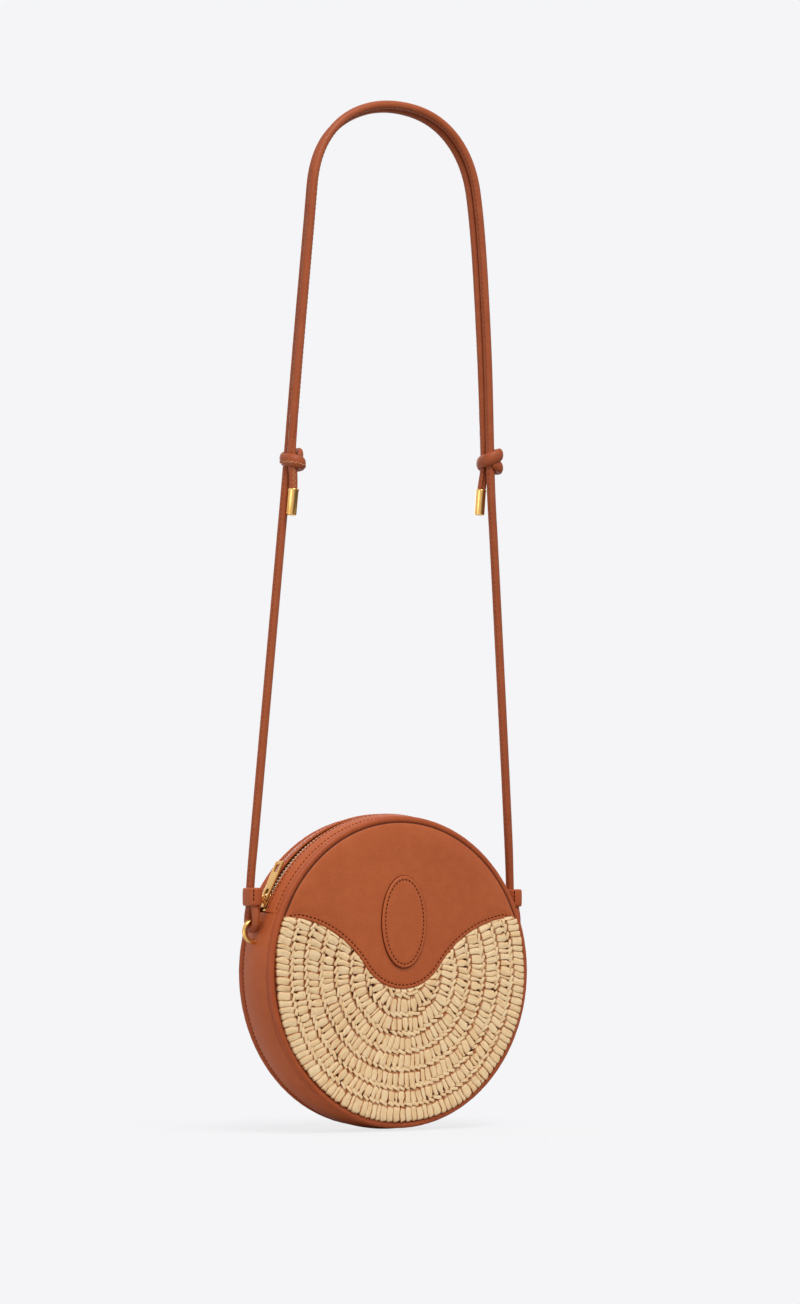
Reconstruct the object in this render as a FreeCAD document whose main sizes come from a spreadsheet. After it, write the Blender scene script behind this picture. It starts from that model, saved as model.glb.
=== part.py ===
"""Round structured crossbody bag: stiff discs, leather gusset with a zip over the top, crocheted front
panel under a leather yoke, and a two-cord shoulder strap with sliding knots.

Frame: +X to the wearer's right seen from the front, +Y to the back, +Z up. The origin is the underside
of the strap's arch, where a hook or a shoulder carries the bag. Every piece is drawn about the centre of
the bag's disc and placed hang_drop below the origin. All sizes are millimetres and degrees.
"""
import FreeCAD, Part
import math
import os
import Sketcher
from FreeCAD import Vector

doc = FreeCAD.newDocument("circle_bag")

# Driving sizes: alias, value, meaning
SIZES = [
    ("hang_drop", 586.0, "disc centre below the underside of the strap arch"),
    ("crown_radius", 105.0, "outer radius of the gusset at its middle"),
    ("gusset_half", 15.2, "half the width of the gusset between the pipings"),
    ("gusset_crown", 2.0, "height of the gusset's middle over its edges"),
    ("gusset_wall", 2.0, "thickness of the gusset leather"),
    ("zip_half_angle", 68.0, "zip opening to each side of the top, degrees"),
    ("seam_angle", 0.2, "open seam at each end of the zip strips, degrees"),
    ("seat_gap", 0.1, "gap between sewn pieces that lie on each other"),
    ("strip_crown", 2.8, "height of the zip strips' middle line over their edges"),
    ("strip_wall", 1.8, "thickness of a zip strip"),
    ("zip_gap_half", 4.2, "half the gap between the two zip strips"),
    ("tape_wall", 0.6, "thickness of the zip tape"),
    ("tape_outer", 8.0, "outer edge of a zip tape from the zip's middle"),
    ("tape_inner", 1.2, "inner edge of a zip tape from the zip's middle"),
    ("tooth_pitch", 2.6, "spacing of the teeth on one tape"),
    ("tooth_width", 1.05, "width of a tooth along the zip"),
    ("tooth_waist", 0.74, "width of a tooth at its neck"),
    ("tooth_rise", 1.4, "height of a tooth over the tape"),
    ("tooth_root", 3.0, "root of a tooth from the zip's middle"),
    ("tooth_reach", 0.7, "reach of a tooth past the zip's middle"),
    ("stop_length", 2.4, "length of a zip stop along the zip"),
    ("slider_angle", 63.5, "slider to the left of the top when closed, degrees"),
    ("slider_length", 10.0, "length of the slider"),
    ("slider_half", 3.6, "half the width of the slider"),
    ("slider_plate", 1.0, "thickness of the slider's top plate"),
    ("slider_lip", 0.4, "thickness of the slider's side lips"),
    ("running_gap", 0.3, "clearance of pieces that run on each other"),
    ("bridge_half", 1.1, "half the width of the slider's bridge"),
    ("bridge_window", 3.2, "length of the window under the bridge"),
    ("bridge_height", 2.4, "height of the window under the bridge"),
    ("bridge_wall", 1.3, "thickness of the bridge"),
    ("pull_length", 28.0, "length of the pull from its hinge line"),
    ("pull_width", 9.0, "width of the pull"),
    ("pull_wall", 1.4, "thickness of the pull"),
    ("pull_bar", 0.9, "half the length of the pull's cross bar"),
    ("pull_slot", 6.6, "length of the slot that takes the bridge"),
    ("pull_slot_width", 3.8, "width of the slot that takes the bridge"),
    ("pull_window", 5.6, "length of the window at the pull's tip"),
    ("pull_window_width", 4.6, "width of the window at the pull's tip"),
    ("pull_frame", 2.6, "metal left past the window at the tip"),
    ("piping_diameter", 4.4, "diameter of the leather piping"),
    ("board_wall", 2.4, "thickness of the front board and of the back panel"),
    ("back_step", 0.8, "height of the back panel's flat over the rim"),
    ("lining_wall", 0.8, "thickness of the lining"),
    ("round_count", 8, "rounds of crochet from the middle to the rim"),
    ("start_radius", 5.0, "radius of the closed start of the crochet"),
    ("crochet_wall", 1.5, "thickness of the crochet in the groove between rounds"),
    ("round_swell", 1.0, "height of a round over the groove"),
    ("yoke_wall", 2.0, "thickness of the yoke"),
    ("yoke_edge_gap", 0.5, "gap between the yoke's edge and the crochet"),
    ("lobe_half", 30.0, "half the width of the yoke's middle lobe"),
    ("lobe_depth", 15.5, "depth of the yoke's middle lobe"),
    ("lobe_top", 4.0, "height of the lobe's ends over the disc centre"),
    ("shoulder_radius", 77.0, "radius of the hollow curve beside the lobe"),
    ("yoke_rim_height", 36.0, "height where the yoke's edge meets the rim"),
    ("badge_half_height", 30.6, "half the height of the oval badge"),
    ("badge_half_width", 17.8, "half the width of the oval badge"),
    ("badge_wall", 1.6, "thickness of the badge"),
    ("badge_round", 0.7, "rounding of the badge's front edge"),
    ("badge_height", 33.0, "badge centre over the disc centre"),
    ("wire_diameter", 3.2, "diameter of the staple wire"),
    ("staple_angle", 18.606, "upper staple leg over the level of the disc centre, degrees"),
    ("staple_pitch", 13.5, "distance between the two staple legs"),
    ("staple_stand", 7.5, "outermost point of the staple over the gusset's crown"),
    ("leg_tail", 0.7, "staple legs' ends past the plate"),
    ("hole_gap", 0.15, "clearance of a leg in its hole"),
    ("plate_wall", 1.2, "thickness of the plate behind the staple"),
    ("plate_half", 6.0, "half the width of the plate behind the staple"),
    ("plate_sweep", 13.0, "length of the plate along the gusset, degrees"),
    ("cord_diameter", 5.6, "diameter of the rolled strap cord"),
    ("loop_stand", 5.5, "strap loop's middle out from the gusset at the staple's upper leg"),
    ("cord_gap", 0.1, "gap between the two strands"),
    ("loop_gap", 0.6, "clearance of the cord loop on the staple wire"),
    ("loop_rise", 4.0, "height over the swing axis where the loop's strands draw together"),
    ("keeper_lift", 9.0, "lower edge of the keeper over the swing axis"),
    ("keeper_height", 13.5, "height of the keeper"),
    ("keeper_wall", 1.0, "thickness of the keeper"),
    ("knot_rise", 6.1, "rise of the knot in one turn"),
    ("strand_lean", 0.7, "sideways step between the two strands in a knot"),
    ("ferrule_diameter", 6.9, "diameter of a ferrule"),
    ("ferrule_length", 18.0, "length of a ferrule"),
    ("ferrule_floor", 1.6, "closed end of a ferrule"),
    ("ferrule_bead", 0.35, "height of the bead at a ferrule's mouth"),
]

sheet = doc.addObject("Spreadsheet::Sheet", "dims")
for row, (alias, value, meaning) in enumerate(SIZES, start=1):
    sheet.set(f"A{row}", meaning)
    sheet.set(f"B{row}", str(value))
    sheet.setAlias(f"B{row}", alias)
doc.recompute()


def size(name):
    """Value of one driving size."""
    return float(sheet.get(name))


def worth(expression):
    """Value of an expression over the driving sizes."""
    return float(sheet.evalExpression(expression))


# Derived sizes, as expressions over the sheet
PIPING_Y = "(dims.gusset_half + dims.seat_gap + dims.piping_diameter / 2)"
PIPING_RADIUS = "(dims.crown_radius - dims.gusset_crown - dims.piping_diameter / 2 + dims.seat_gap * 2)"
DISC_RADIUS = f"({PIPING_RADIUS} - dims.piping_diameter / 2 - dims.seat_gap * 2)"
PANEL_FACE = f"({PIPING_Y} + dims.piping_diameter / 2)"
COVER_BACK = f"({PANEL_FACE} + dims.seat_gap)"
PANEL_BACK = f"({PANEL_FACE} - dims.board_wall)"
ROUND_PITCH = f"(({PIPING_RADIUS} - dims.start_radius) / dims.round_count)"
GUSSET_EDGE = "(dims.crown_radius - dims.gusset_crown)"
STRIP_BOW = "((dims.gusset_half^2 + dims.strip_crown^2) / (2 * dims.strip_crown))"
STRIP_DROP = f"({STRIP_BOW} - sqrt({STRIP_BOW}^2 - dims.tape_outer^2))"
STRIP_BACK = f"({GUSSET_EDGE} + dims.strip_crown - {STRIP_DROP} - dims.strip_wall)"
TAPE_TOP = f"({STRIP_BACK} - dims.seat_gap / 2)"
TOOTH_BASE = f"({TAPE_TOP} + dims.seat_gap / 4)"
TOOTH_TOP = f"({TAPE_TOP} + dims.tooth_rise)"
SLIDER_BASE = f"({TOOTH_TOP} + dims.running_gap)"
SLIDER_TOP = f"({SLIDER_BASE} + dims.slider_plate)"
HINGE_RADIUS = f"({SLIDER_TOP} + dims.bridge_height / 2)"
GUSSET_BOW = "((dims.gusset_half^2 + dims.gusset_crown^2) / (2 * dims.gusset_crown))"
PLATE_TOP = f"(dims.crown_radius - dims.gusset_wall - dims.plate_half^2 / {GUSSET_BOW} / 2 - dims.seat_gap)"
LEG_END = f"({PLATE_TOP} - dims.plate_wall - dims.leg_tail)"
STAPLE_TOP = "(dims.crown_radius * sin(1 deg * dims.staple_angle))"
STAPLE_BOTTOM = f"({STAPLE_TOP} - dims.staple_pitch)"
STRAND_Y = "((dims.cord_diameter + dims.cord_gap) / 2)"
CORD_SIDE = "(dims.crown_radius * cos(1 deg * dims.staple_angle) + dims.loop_stand)"
KEEPER_BOTTOM = f"({STAPLE_TOP} + dims.keeper_lift)"
LOOP_RADIUS = "(dims.wire_diameter / 2 + dims.loop_gap + dims.cord_diameter / 2)"

# A half round is drawn a hair over half its chord, so that it has one centre and one side
HALF_ROUND = 1.0001

# Share of the shorter run beside a bend that the bend's arc takes
BEND_SHARE = 0.45

# Corner points of a knot, four to the turn
KNOT_CORNERS = 8


def origin_plane(body, role):
    """One of a body's own origin planes."""
    return next(item for item in body.Origin.OriginFeatures if item.Role == role)


def new_body(label):
    """An empty body whose own origin is the disc centre."""
    body = doc.addObject("PartDesign::Body", label)
    body.Label = label
    body.setExpression("Placement.Base.z", "-dims.hang_drop")
    return body


def new_sketch(body, name, role, offset=None):
    """A sketch on one of the body's origin planes, moved along the plane's normal."""
    sketch = body.newObject("Sketcher::SketchObject", name)
    sketch.AttachmentSupport = [(origin_plane(body, role), "")]
    sketch.MapMode = "FlatFace"
    if offset:
        sketch.setExpression("AttachmentOffset.Base.z", offset)
    return sketch


def pin_point(sketch, geometry, end, across, upward):
    """Fix one point of a sketch to two expressions."""
    for kind, axis, expression in (("DistanceX", -2, across), ("DistanceY", -1, upward)):
        value = worth(expression)
        if abs(value) < 1e-7:
            sketch.addConstraint(Sketcher.Constraint("PointOnObject", geometry, end, axis))
        else:
            index = sketch.addConstraint(Sketcher.Constraint(kind, -1, 1, geometry, end, value))
            sketch.setExpression(f"Constraints[{index}]", expression)


def arc_between(start, end, radius, side):
    """Minor arc between two points; side +1 bulges to the left of the way from start to end."""
    middle = (start + end) * 0.5
    chord = end - start
    normal = Vector(-chord.y, chord.x, 0).normalize()
    reach = math.sqrt(radius ** 2 - (chord.Length / 2) ** 2)
    centre = middle - normal * (side * reach)
    crest = centre + normal * (side * radius)
    return Part.Arc(start, crest, end)


def outline(sketch, corners, arcs=None):
    """Closed outline through corners given as expressions; arcs maps a segment to (radius, side)."""
    arcs = arcs or {}
    points = [Vector(worth(across), worth(upward), 0) for across, upward in corners]
    ends = []
    for index, start in enumerate(points):
        end = points[(index + 1) % len(points)]
        if index in arcs:
            radius, side = arcs[index]
            geometry = sketch.addGeometry(arc_between(start, end, worth(radius), side))
            bound = sketch.addConstraint(Sketcher.Constraint("Radius", geometry, worth(radius)))
            sketch.setExpression(f"Constraints[{bound}]", radius)
            first = sketch.getPoint(geometry, 1)
            ends.append((geometry, 1, 2) if first.distanceToPoint(start) < 1e-6 else (geometry, 2, 1))
        else:
            ends.append((sketch.addGeometry(Part.LineSegment(start, end)), 1, 2))
    for index, (geometry, begin, _) in enumerate(ends):
        before, _, finish = ends[index - 1]
        sketch.addConstraint(Sketcher.Constraint("Coincident", before, finish, geometry, begin))
        pin_point(sketch, geometry, begin, *corners[index])


def circle(sketch, across, upward, radius):
    """A circle bound to expressions."""
    centre = Vector(worth(across), worth(upward), 0)
    geometry = sketch.addGeometry(Part.Circle(centre, Vector(0, 0, 1), worth(radius)))
    bound = sketch.addConstraint(Sketcher.Constraint("Radius", geometry, worth(radius)))
    sketch.setExpression(f"Constraints[{bound}]", radius)
    pin_point(sketch, geometry, 3, across, upward)


def revolve(body, sketch, angle="360"):
    """Turn a sketch about the bag's front-to-back axis, evenly to both sides of the sketch."""
    feature = body.newObject("PartDesign::Revolution", sketch.Name + "_turn")
    feature.Profile = sketch
    feature.ReferenceAxis = (sketch, ["H_Axis"])
    feature.Midplane = True
    feature.setExpression("Angle", angle)
    return feature


def pad(body, sketch, length, both_sides=False):
    """Extrude a sketch along its normal."""
    feature = body.newObject("PartDesign::Pad", sketch.Name + "_pad")
    feature.Profile = sketch
    feature.setExpression("Length", length)
    feature.Midplane = both_sides
    return feature


def cut_through(body, sketch):
    """Cut a sketch through the whole body, to both sides."""
    feature = body.newObject("PartDesign::Pocket", sketch.Name + "_cut")
    feature.Profile = sketch
    feature.Type = "ThroughAll"
    feature.Midplane = True
    return feature


def gusset_band():
    """Leather band round the bottom and the sides, with the holes for both staples."""
    body = new_body("gusset_lower")
    sketch = new_sketch(body, "gusset_profile", "YZ_Plane")
    half, edge, wall = "dims.gusset_half", GUSSET_EDGE, "dims.gusset_wall"
    corners = [
        (f"-{half}", f"-{edge}"),
        (half, f"-{edge}"),
        (half, f"-({edge} - {wall})"),
        (f"-{half}", f"-({edge} - {wall})"),
    ]
    outline(sketch, corners, {0: (GUSSET_BOW, -1), 2: (GUSSET_BOW, 1)})
    revolve(body, sketch, "360 - 2 * dims.zip_half_angle - 2 * dims.seam_angle")
    cut_leg_holes(body, "gusset_holes")
    return body


def cut_leg_holes(body, name):
    """Holes for the staple legs, straight through from side to side."""
    holes = new_sketch(body, name, "YZ_Plane")
    for height in (STAPLE_TOP, STAPLE_BOTTOM):
        circle(holes, "0", height, "dims.wire_diameter / 2 + dims.hole_gap")
    cut_through(body, holes)


def gusset_lining():
    """Lining behind the lower band."""
    body = new_body("gusset_lining")
    sketch = new_sketch(body, "lining_profile", "YZ_Plane")
    outer = f"({LEG_END} - dims.running_gap)"
    corners = [
        ("-dims.gusset_half", f"-{outer}"),
        ("dims.gusset_half", f"-{outer}"),
        ("dims.gusset_half", f"-({outer} - dims.lining_wall)"),
        ("-dims.gusset_half", f"-({outer} - dims.lining_wall)"),
    ]
    outline(sketch, corners)
    revolve(body, sketch, "360 - 2 * dims.zip_half_angle - 2 * dims.seam_angle")
    return body


def zip_strip(label, turn):
    """Leather strip beside the zip; turn 180 makes the rear one."""
    body = new_body(label)
    body.Placement.Rotation = FreeCAD.Rotation(Vector(0, 0, 1), turn)
    sketch = new_sketch(body, label + "_profile", "YZ_Plane")
    drop = f"({STRIP_BOW} - sqrt({STRIP_BOW}^2 - dims.zip_gap_half^2))"
    near = f"({GUSSET_EDGE} + dims.strip_crown - {drop})"
    corners = [
        ("-dims.gusset_half", GUSSET_EDGE),
        ("-dims.zip_gap_half", near),
        ("-dims.zip_gap_half", f"{near} - dims.strip_wall"),
        ("-dims.gusset_half", f"{GUSSET_EDGE} - dims.strip_wall"),
    ]
    outline(sketch, corners, {0: (STRIP_BOW, 1), 2: (STRIP_BOW, -1)})
    revolve(body, sketch, "2 * dims.zip_half_angle")
    return body


def zip_tape(label, turn):
    """Woven tape that carries one row of teeth."""
    body = new_body(label)
    body.Placement.Rotation = FreeCAD.Rotation(Vector(0, 0, 1), turn)
    sketch = new_sketch(body, label + "_profile", "YZ_Plane")
    corners = [
        ("-dims.tape_outer", TAPE_TOP),
        ("-dims.tape_inner", TAPE_TOP),
        ("-dims.tape_inner", f"{TAPE_TOP} - dims.tape_wall"),
        ("-dims.tape_outer", f"{TAPE_TOP} - dims.tape_wall"),
    ]
    outline(sketch, corners)
    revolve(body, sketch, "2 * dims.zip_half_angle")
    return body


def set_shape(label, shape):
    """A sub-part whose shape comes straight from geometry functions."""
    feature = doc.addObject("Part::Feature", label)
    feature.Label = label
    feature.Shape = shape
    feature.Placement = FreeCAD.Placement(Vector(0, 0, -size("hang_drop")), FreeCAD.Rotation())
    return feature


def tooth_row(label, side):
    """One row of teeth, half a pitch out of step with the other row so that the two rows mesh."""
    base = worth(TOOTH_BASE)
    pitch_angle = math.degrees(size("tooth_pitch") / base)
    span = size("zip_half_angle") - math.degrees(2 * size("stop_length") / base)
    half_width = size("tooth_width") / 2
    waist = size("tooth_waist") / 2
    root, reach = size("tooth_root"), size("tooth_reach")
    plan = [(-half_width, root), (half_width, root), (waist, reach), (half_width, 0),
            (waist, -reach), (-waist, -reach), (-half_width, 0), (-waist, reach)]
    points = [Vector(across, side * depth, base) for across, depth in plan]
    face = Part.Face(Part.makePolygon(points + points[:1]))
    tooth = face.extrude(Vector(0, 0, size("tooth_rise")))
    phase = 0.25 * side * pitch_angle
    count = int((span - abs(phase)) / pitch_angle)
    row = []
    for step in range(-count, count + 1):
        copy = tooth.copy()
        copy.rotate(Vector(0, 0, 0), Vector(0, 1, 0), step * pitch_angle + phase)
        row.append(copy)
    return set_shape(label, Part.makeCompound(row))


def zip_stop(label, side):
    """Metal block across both tapes at one end of the teeth."""
    body = new_body(label)
    turn = side * (size("zip_half_angle") - math.degrees(size("stop_length") / worth(TOOTH_BASE)))
    body.Placement.Rotation = FreeCAD.Rotation(Vector(0, 1, 0), turn)
    sketch = new_sketch(body, label + "_plan", "XY_Plane", TOOTH_BASE)
    half_length, half_width = "dims.stop_length / 2", "dims.tooth_root"
    outline(sketch, [(f"-{half_length}", f"-{half_width}"), (half_length, f"-{half_width}"),
                     (half_length, half_width), (f"-{half_length}", half_width)])
    pad(body, sketch, "dims.tooth_rise")
    return body


def disc(label, offset, wall):
    """Flat disc parallel to the front, its rear face offset to the front."""
    body = new_body(label)
    sketch = new_sketch(body, label + "_outline", "XZ_Plane", offset)
    circle(sketch, "0", "0", DISC_RADIUS)
    pad(body, sketch, wall)
    return body


def piping(label, turn):
    """Leather piping round one rim."""
    body = new_body(label)
    body.Placement.Rotation = FreeCAD.Rotation(Vector(0, 0, 1), turn)
    sketch = new_sketch(body, label + "_section", "YZ_Plane")
    circle(sketch, f"-{PIPING_Y}", PIPING_RADIUS, "dims.piping_diameter / 2")
    revolve(body, sketch)
    return body


def back_panel():
    """Leather back with a flat that stands a little over the rim, its edge bevelled."""
    body = new_body("back_panel")
    sketch = new_sketch(body, "back_profile", "YZ_Plane")
    flat = f"({PANEL_FACE} + dims.back_step)"
    corners = [
        (PANEL_BACK, "0"),
        (flat, "0"),
        (flat, f"{DISC_RADIUS} - 2 * dims.back_step"),
        (PANEL_FACE, DISC_RADIUS),
        (PANEL_BACK, DISC_RADIUS),
    ]
    outline(sketch, corners)
    revolve(body, sketch)
    return body


def yoke_corners(rim, gap):
    """Corners and arcs of the yoke: rim above, hollow shoulders and a round lobe below."""
    height = f"(dims.yoke_rim_height - {gap})"
    foot = f"(dims.lobe_top - {gap})"
    across = f"sqrt(({rim})^2 - {height}^2)"
    lobe = "((dims.lobe_half^2 + dims.lobe_depth^2) / (2 * dims.lobe_depth))"
    corners = [
        (f"-{across}", height),
        ("-dims.lobe_half", foot),
        ("dims.lobe_half", foot),
        (across, height),
        ("0", rim),
    ]
    arcs = {0: ("dims.shoulder_radius", 1), 1: (lobe, -1), 2: ("dims.shoulder_radius", 1),
            3: (rim, -1), 4: (rim, -1)}
    return corners, arcs


def front_yoke():
    """Leather yoke over the upper half of the front."""
    body = new_body("front_yoke")
    sketch = new_sketch(body, "yoke_outline", "XZ_Plane", COVER_BACK)
    outline(sketch, *yoke_corners(PIPING_RADIUS, "0"))
    pad(body, sketch, "dims.yoke_wall")
    return body


def crochet_panel():
    """Crocheted disc of concentric rounds, left open where the yoke lies."""
    body = new_body("crochet_panel")
    sketch = new_sketch(body, "crochet_profile", "YZ_Plane")
    groove = f"({COVER_BACK} + dims.crochet_wall)"
    swell = f"(({ROUND_PITCH}^2 / 4 + dims.round_swell^2) / (2 * dims.round_swell))"
    corners = [(f"-{COVER_BACK}", "0"), (f"-{groove}", "0"), (f"-{groove}", "dims.start_radius")]
    arcs = {}
    for number in range(1, int(size("round_count")) + 1):
        arcs[len(corners) - 1] = (swell, 1)
        corners.append((f"-{groove}", f"dims.start_radius + {number} * {ROUND_PITCH}"))
    corners.append((f"-{COVER_BACK}", PIPING_RADIUS))
    outline(sketch, corners, arcs)
    revolve(body, sketch)
    clear = new_sketch(body, "crochet_opening", "XZ_Plane", COVER_BACK)
    outline(clear, *yoke_corners(f"({PIPING_RADIUS} + dims.seat_gap)", "dims.yoke_edge_gap"))
    cut_through(body, clear)
    return body


def oval_badge():
    """Bare oval leather badge on the yoke."""
    oval = doc.addObject("Part::Ellipse", "badge_outline")
    oval.setExpression("MajorRadius", "dims.badge_half_height")
    oval.setExpression("MinorRadius", "dims.badge_half_width")
    plate = doc.addObject("Part::Extrusion", "badge_plate")
    plate.Base = oval
    plate.Dir = Vector(0, 0, 1)
    plate.setExpression("LengthFwd", "dims.badge_wall")
    plate.Solid = True
    doc.recompute()
    badge = doc.addObject("Part::Fillet", "oval_badge")
    badge.Label = "oval_badge"
    badge.Base = plate
    rim = next(number for number, edge in enumerate(plate.Shape.Edges, start=1)
               if edge.BoundBox.ZMin > size("badge_wall") / 2)
    badge.Edges = [(rim, size("badge_round"), size("badge_round"))]
    upright = FreeCAD.Rotation(Vector(0, 0, 1), Vector(0, -1, 0))
    badge.Placement.Rotation = upright.multiply(FreeCAD.Rotation(Vector(0, 0, 1), 90))
    badge.setExpression("Placement.Base.y", f"-({COVER_BACK} + dims.yoke_wall + dims.seat_gap)")
    badge.setExpression("Placement.Base.z", "dims.badge_height - dims.hang_drop")
    return badge


def staple(label, side):
    """Wire staple at one side: two level legs into the gusset, joined by a half turn."""
    radius = size("wire_diameter") / 2
    top, bottom = worth(STAPLE_TOP), worth(STAPLE_BOTTOM)
    bend = size("staple_pitch") / 2
    turn_x = size("crown_radius") + size("staple_stand") - radius - bend
    upper_end = math.sqrt(worth(LEG_END) ** 2 - (top - radius) ** 2)
    lower_end = math.sqrt(worth(LEG_END) ** 2 - (bottom - radius) ** 2)
    middle = (top + bottom) / 2
    path = Part.Wire([
        Part.LineSegment(Vector(side * upper_end, 0, top), Vector(side * turn_x, 0, top)).toShape(),
        Part.Arc(Vector(side * turn_x, 0, top), Vector(side * (turn_x + bend), 0, middle),
                 Vector(side * turn_x, 0, bottom)).toShape(),
        Part.LineSegment(Vector(side * turn_x, 0, bottom), Vector(side * lower_end, 0, bottom)).toShape(),
    ])
    return set_shape(label, pipe(path, radius, label))


def staple_plate(label, side):
    """Curved plate inside the gusset that spreads the staple's pull."""
    body = new_body(label)
    sketch = new_sketch(body, label + "_section", "XZ_Plane")
    middle = f"asin(({STAPLE_TOP} - dims.staple_pitch / 2) / {PLATE_TOP})"
    inner = f"({PLATE_TOP} - dims.plate_wall)"
    low = f"({middle} - 1 deg * dims.plate_sweep / 2)"
    high = f"({middle} + 1 deg * dims.plate_sweep / 2)"
    corners = [
        (f"{side} * {inner} * cos({low})", f"{inner} * sin({low})"),
        (f"{side} * {PLATE_TOP} * cos({low})", f"{PLATE_TOP} * sin({low})"),
        (f"{side} * {PLATE_TOP} * cos({high})", f"{PLATE_TOP} * sin({high})"),
        (f"{side} * {inner} * cos({high})", f"{inner} * sin({high})"),
    ]
    outline(sketch, corners, {1: (PLATE_TOP, -side), 3: (inner, side)})
    pad(body, sketch, "2 * dims.plate_half", True)
    cut_leg_holes(body, label + "_holes")
    return body


def pipe(path, radius, label):
    """Round solid along a wire, its volume compared with section times length."""
    start = path.Edges[0].valueAt(path.Edges[0].FirstParameter)
    heading = path.Edges[0].tangentAt(path.Edges[0].FirstParameter)
    if start.distanceToPoint(path.Vertexes[0].Point) > 1e-6:
        start = path.Edges[0].valueAt(path.Edges[0].LastParameter)
        heading = path.Edges[0].tangentAt(path.Edges[0].LastParameter)
    section = Part.Wire([Part.Circle(start, heading, radius).toShape()])
    solid = path.makePipeShell([section], True, False)
    share = solid.Volume / (math.pi * radius ** 2 * path.Length)
    print(f"{label}: length {path.Length:.1f}, volume share {share:.4f}")
    if abs(share - 1) > 0.01:
        raise RuntimeError(f"{label} has the wrong volume")
    return solid


def rounded_path(points, fixed, label):
    """Straight runs joined by tangent arcs; fixed maps a point's number to its own radius."""
    edges = []
    radii = []
    last = points[0]
    for number in range(1, len(points) - 1):
        before = points[number - 1] - points[number]
        after = points[number + 1] - points[number]
        turn = math.pi - before.getAngle(after)
        shorter = min(before.Length, after.Length)
        radius = fixed.get(number, BEND_SHARE * shorter / math.tan(turn / 2))
        reach = radius * math.tan(turn / 2)
        start = points[number] + before.normalize() * reach
        end = points[number] + after.normalize() * reach
        inward = (before + after).normalize()
        crest = points[number] + inward * (radius / math.cos(turn / 2) - radius)
        if start.distanceToPoint(last) > 1e-4:
            edges.append(Part.LineSegment(last, start).toShape())
        edges.append(Part.Arc(start, crest, end).toShape())
        radii.append(radius)
        last = end
    edges.append(Part.LineSegment(last, points[-1]).toShape())
    print(f"{label}: radii " + " ".join(f"{radius:.0f}" for radius in radii))
    return Part.Wire(edges)


def loop_points(side):
    """A cord's end: up in the keeper, down, round the staple's upper leg and up through the keeper."""
    strand = worth(STRAND_Y)
    swing = worth(LOOP_RADIUS)
    across = side * worth(CORD_SIDE)
    low = worth(KEEPER_BOTTOM)
    high = low + size("keeper_height")
    turn = worth(STAPLE_TOP) - swing
    shoulder = worth(STAPLE_TOP) + size("loop_rise")
    return [
        Vector(across, -strand, high - size("keeper_wall")), Vector(across, -strand, low),
        Vector(across, -swing, shoulder), Vector(across, -swing, turn),
        Vector(across, swing, turn), Vector(across, swing, shoulder),
        Vector(across, strand, low), Vector(across, strand, high + size("keeper_wall")),
    ]


def strap_cord(label, side, route):
    """One strap cord from its staple loop over the arch to the ferrule on its free end."""
    swing = worth(LOOP_RADIUS)
    points = loop_points(side) + [Vector(*point) for point in route]
    path = rounded_path(points, {3: swing, 4: swing}, label)
    return set_shape(label, pipe(path, size("cord_diameter") / 2, label))


# The two strap routes over the keepers and the middles of the knots, about the disc centre; each route goes
# from its keeper to its ferrule
LEFT_ROUTE = [
    (-78.3, 2.85, 320), (-74.2, 2.85, 366), (-69.2, 2.85, 420), (-60.7, 2.85, 505), (-56.7, 2.85, 548),
    (-35.4, 2.85, 580.3), (0, 2.85, 589.7), (41.4, 2.85, 584.3), (68.2, 2.85, 557.4), (75.7, 2.85, 515),
    (81.4, 2.85, 428), (83.6, 2.85, 372), (83.8, 2.95, 345), (80.2, 4.0, 333), (78.6, 4.1, 316),
]
RIGHT_ROUTE = [
    (85.4, -2.85, 330), (84.5, -2.85, 372), (83.0, -2.85, 428), (77.3, -2.85, 515), (69.8, -2.85, 558.6),
    (42.6, -2.85, 585.9), (0, -2.85, 591.3), (-36.6, -2.85, 581.9), (-58.3, -2.85, 548.2),
    (-62.3, -2.85, 505), (-70.8, -2.85, 420), (-75.7, -2.85, 366), (-77.4, -2.95, 342),
    (-75.8, -4.3, 326), (-78.0, -4.4, 306),
]
KNOT_LEFT = Vector(-76.7, 0, 341.5)
KNOT_RIGHT = Vector(84.2, 0, 350.5)


def knot(label, centre, side):
    """Wrapped knot: one and a half turns of the cord round both strands."""
    radius = size("cord_diameter") / 2
    spare = size("cord_gap")
    half_x = 2 * radius + size("strand_lean") + spare
    half_y = worth(STRAND_Y) + 2 * radius + spare
    quarter = size("knot_rise") / 4
    corners = [(half_x, half_y), (-half_x, half_y), (-half_x, -half_y), (half_x, -half_y)]
    points = []
    for step in range(KNOT_CORNERS):
        across, depth = corners[step % 4]
        points.append(centre + Vector(side * across, depth, ((KNOT_CORNERS - 1) / 2 - step) * quarter))
    path = rounded_path(points, {}, label)
    return set_shape(label, pipe(path, radius, label))


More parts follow.
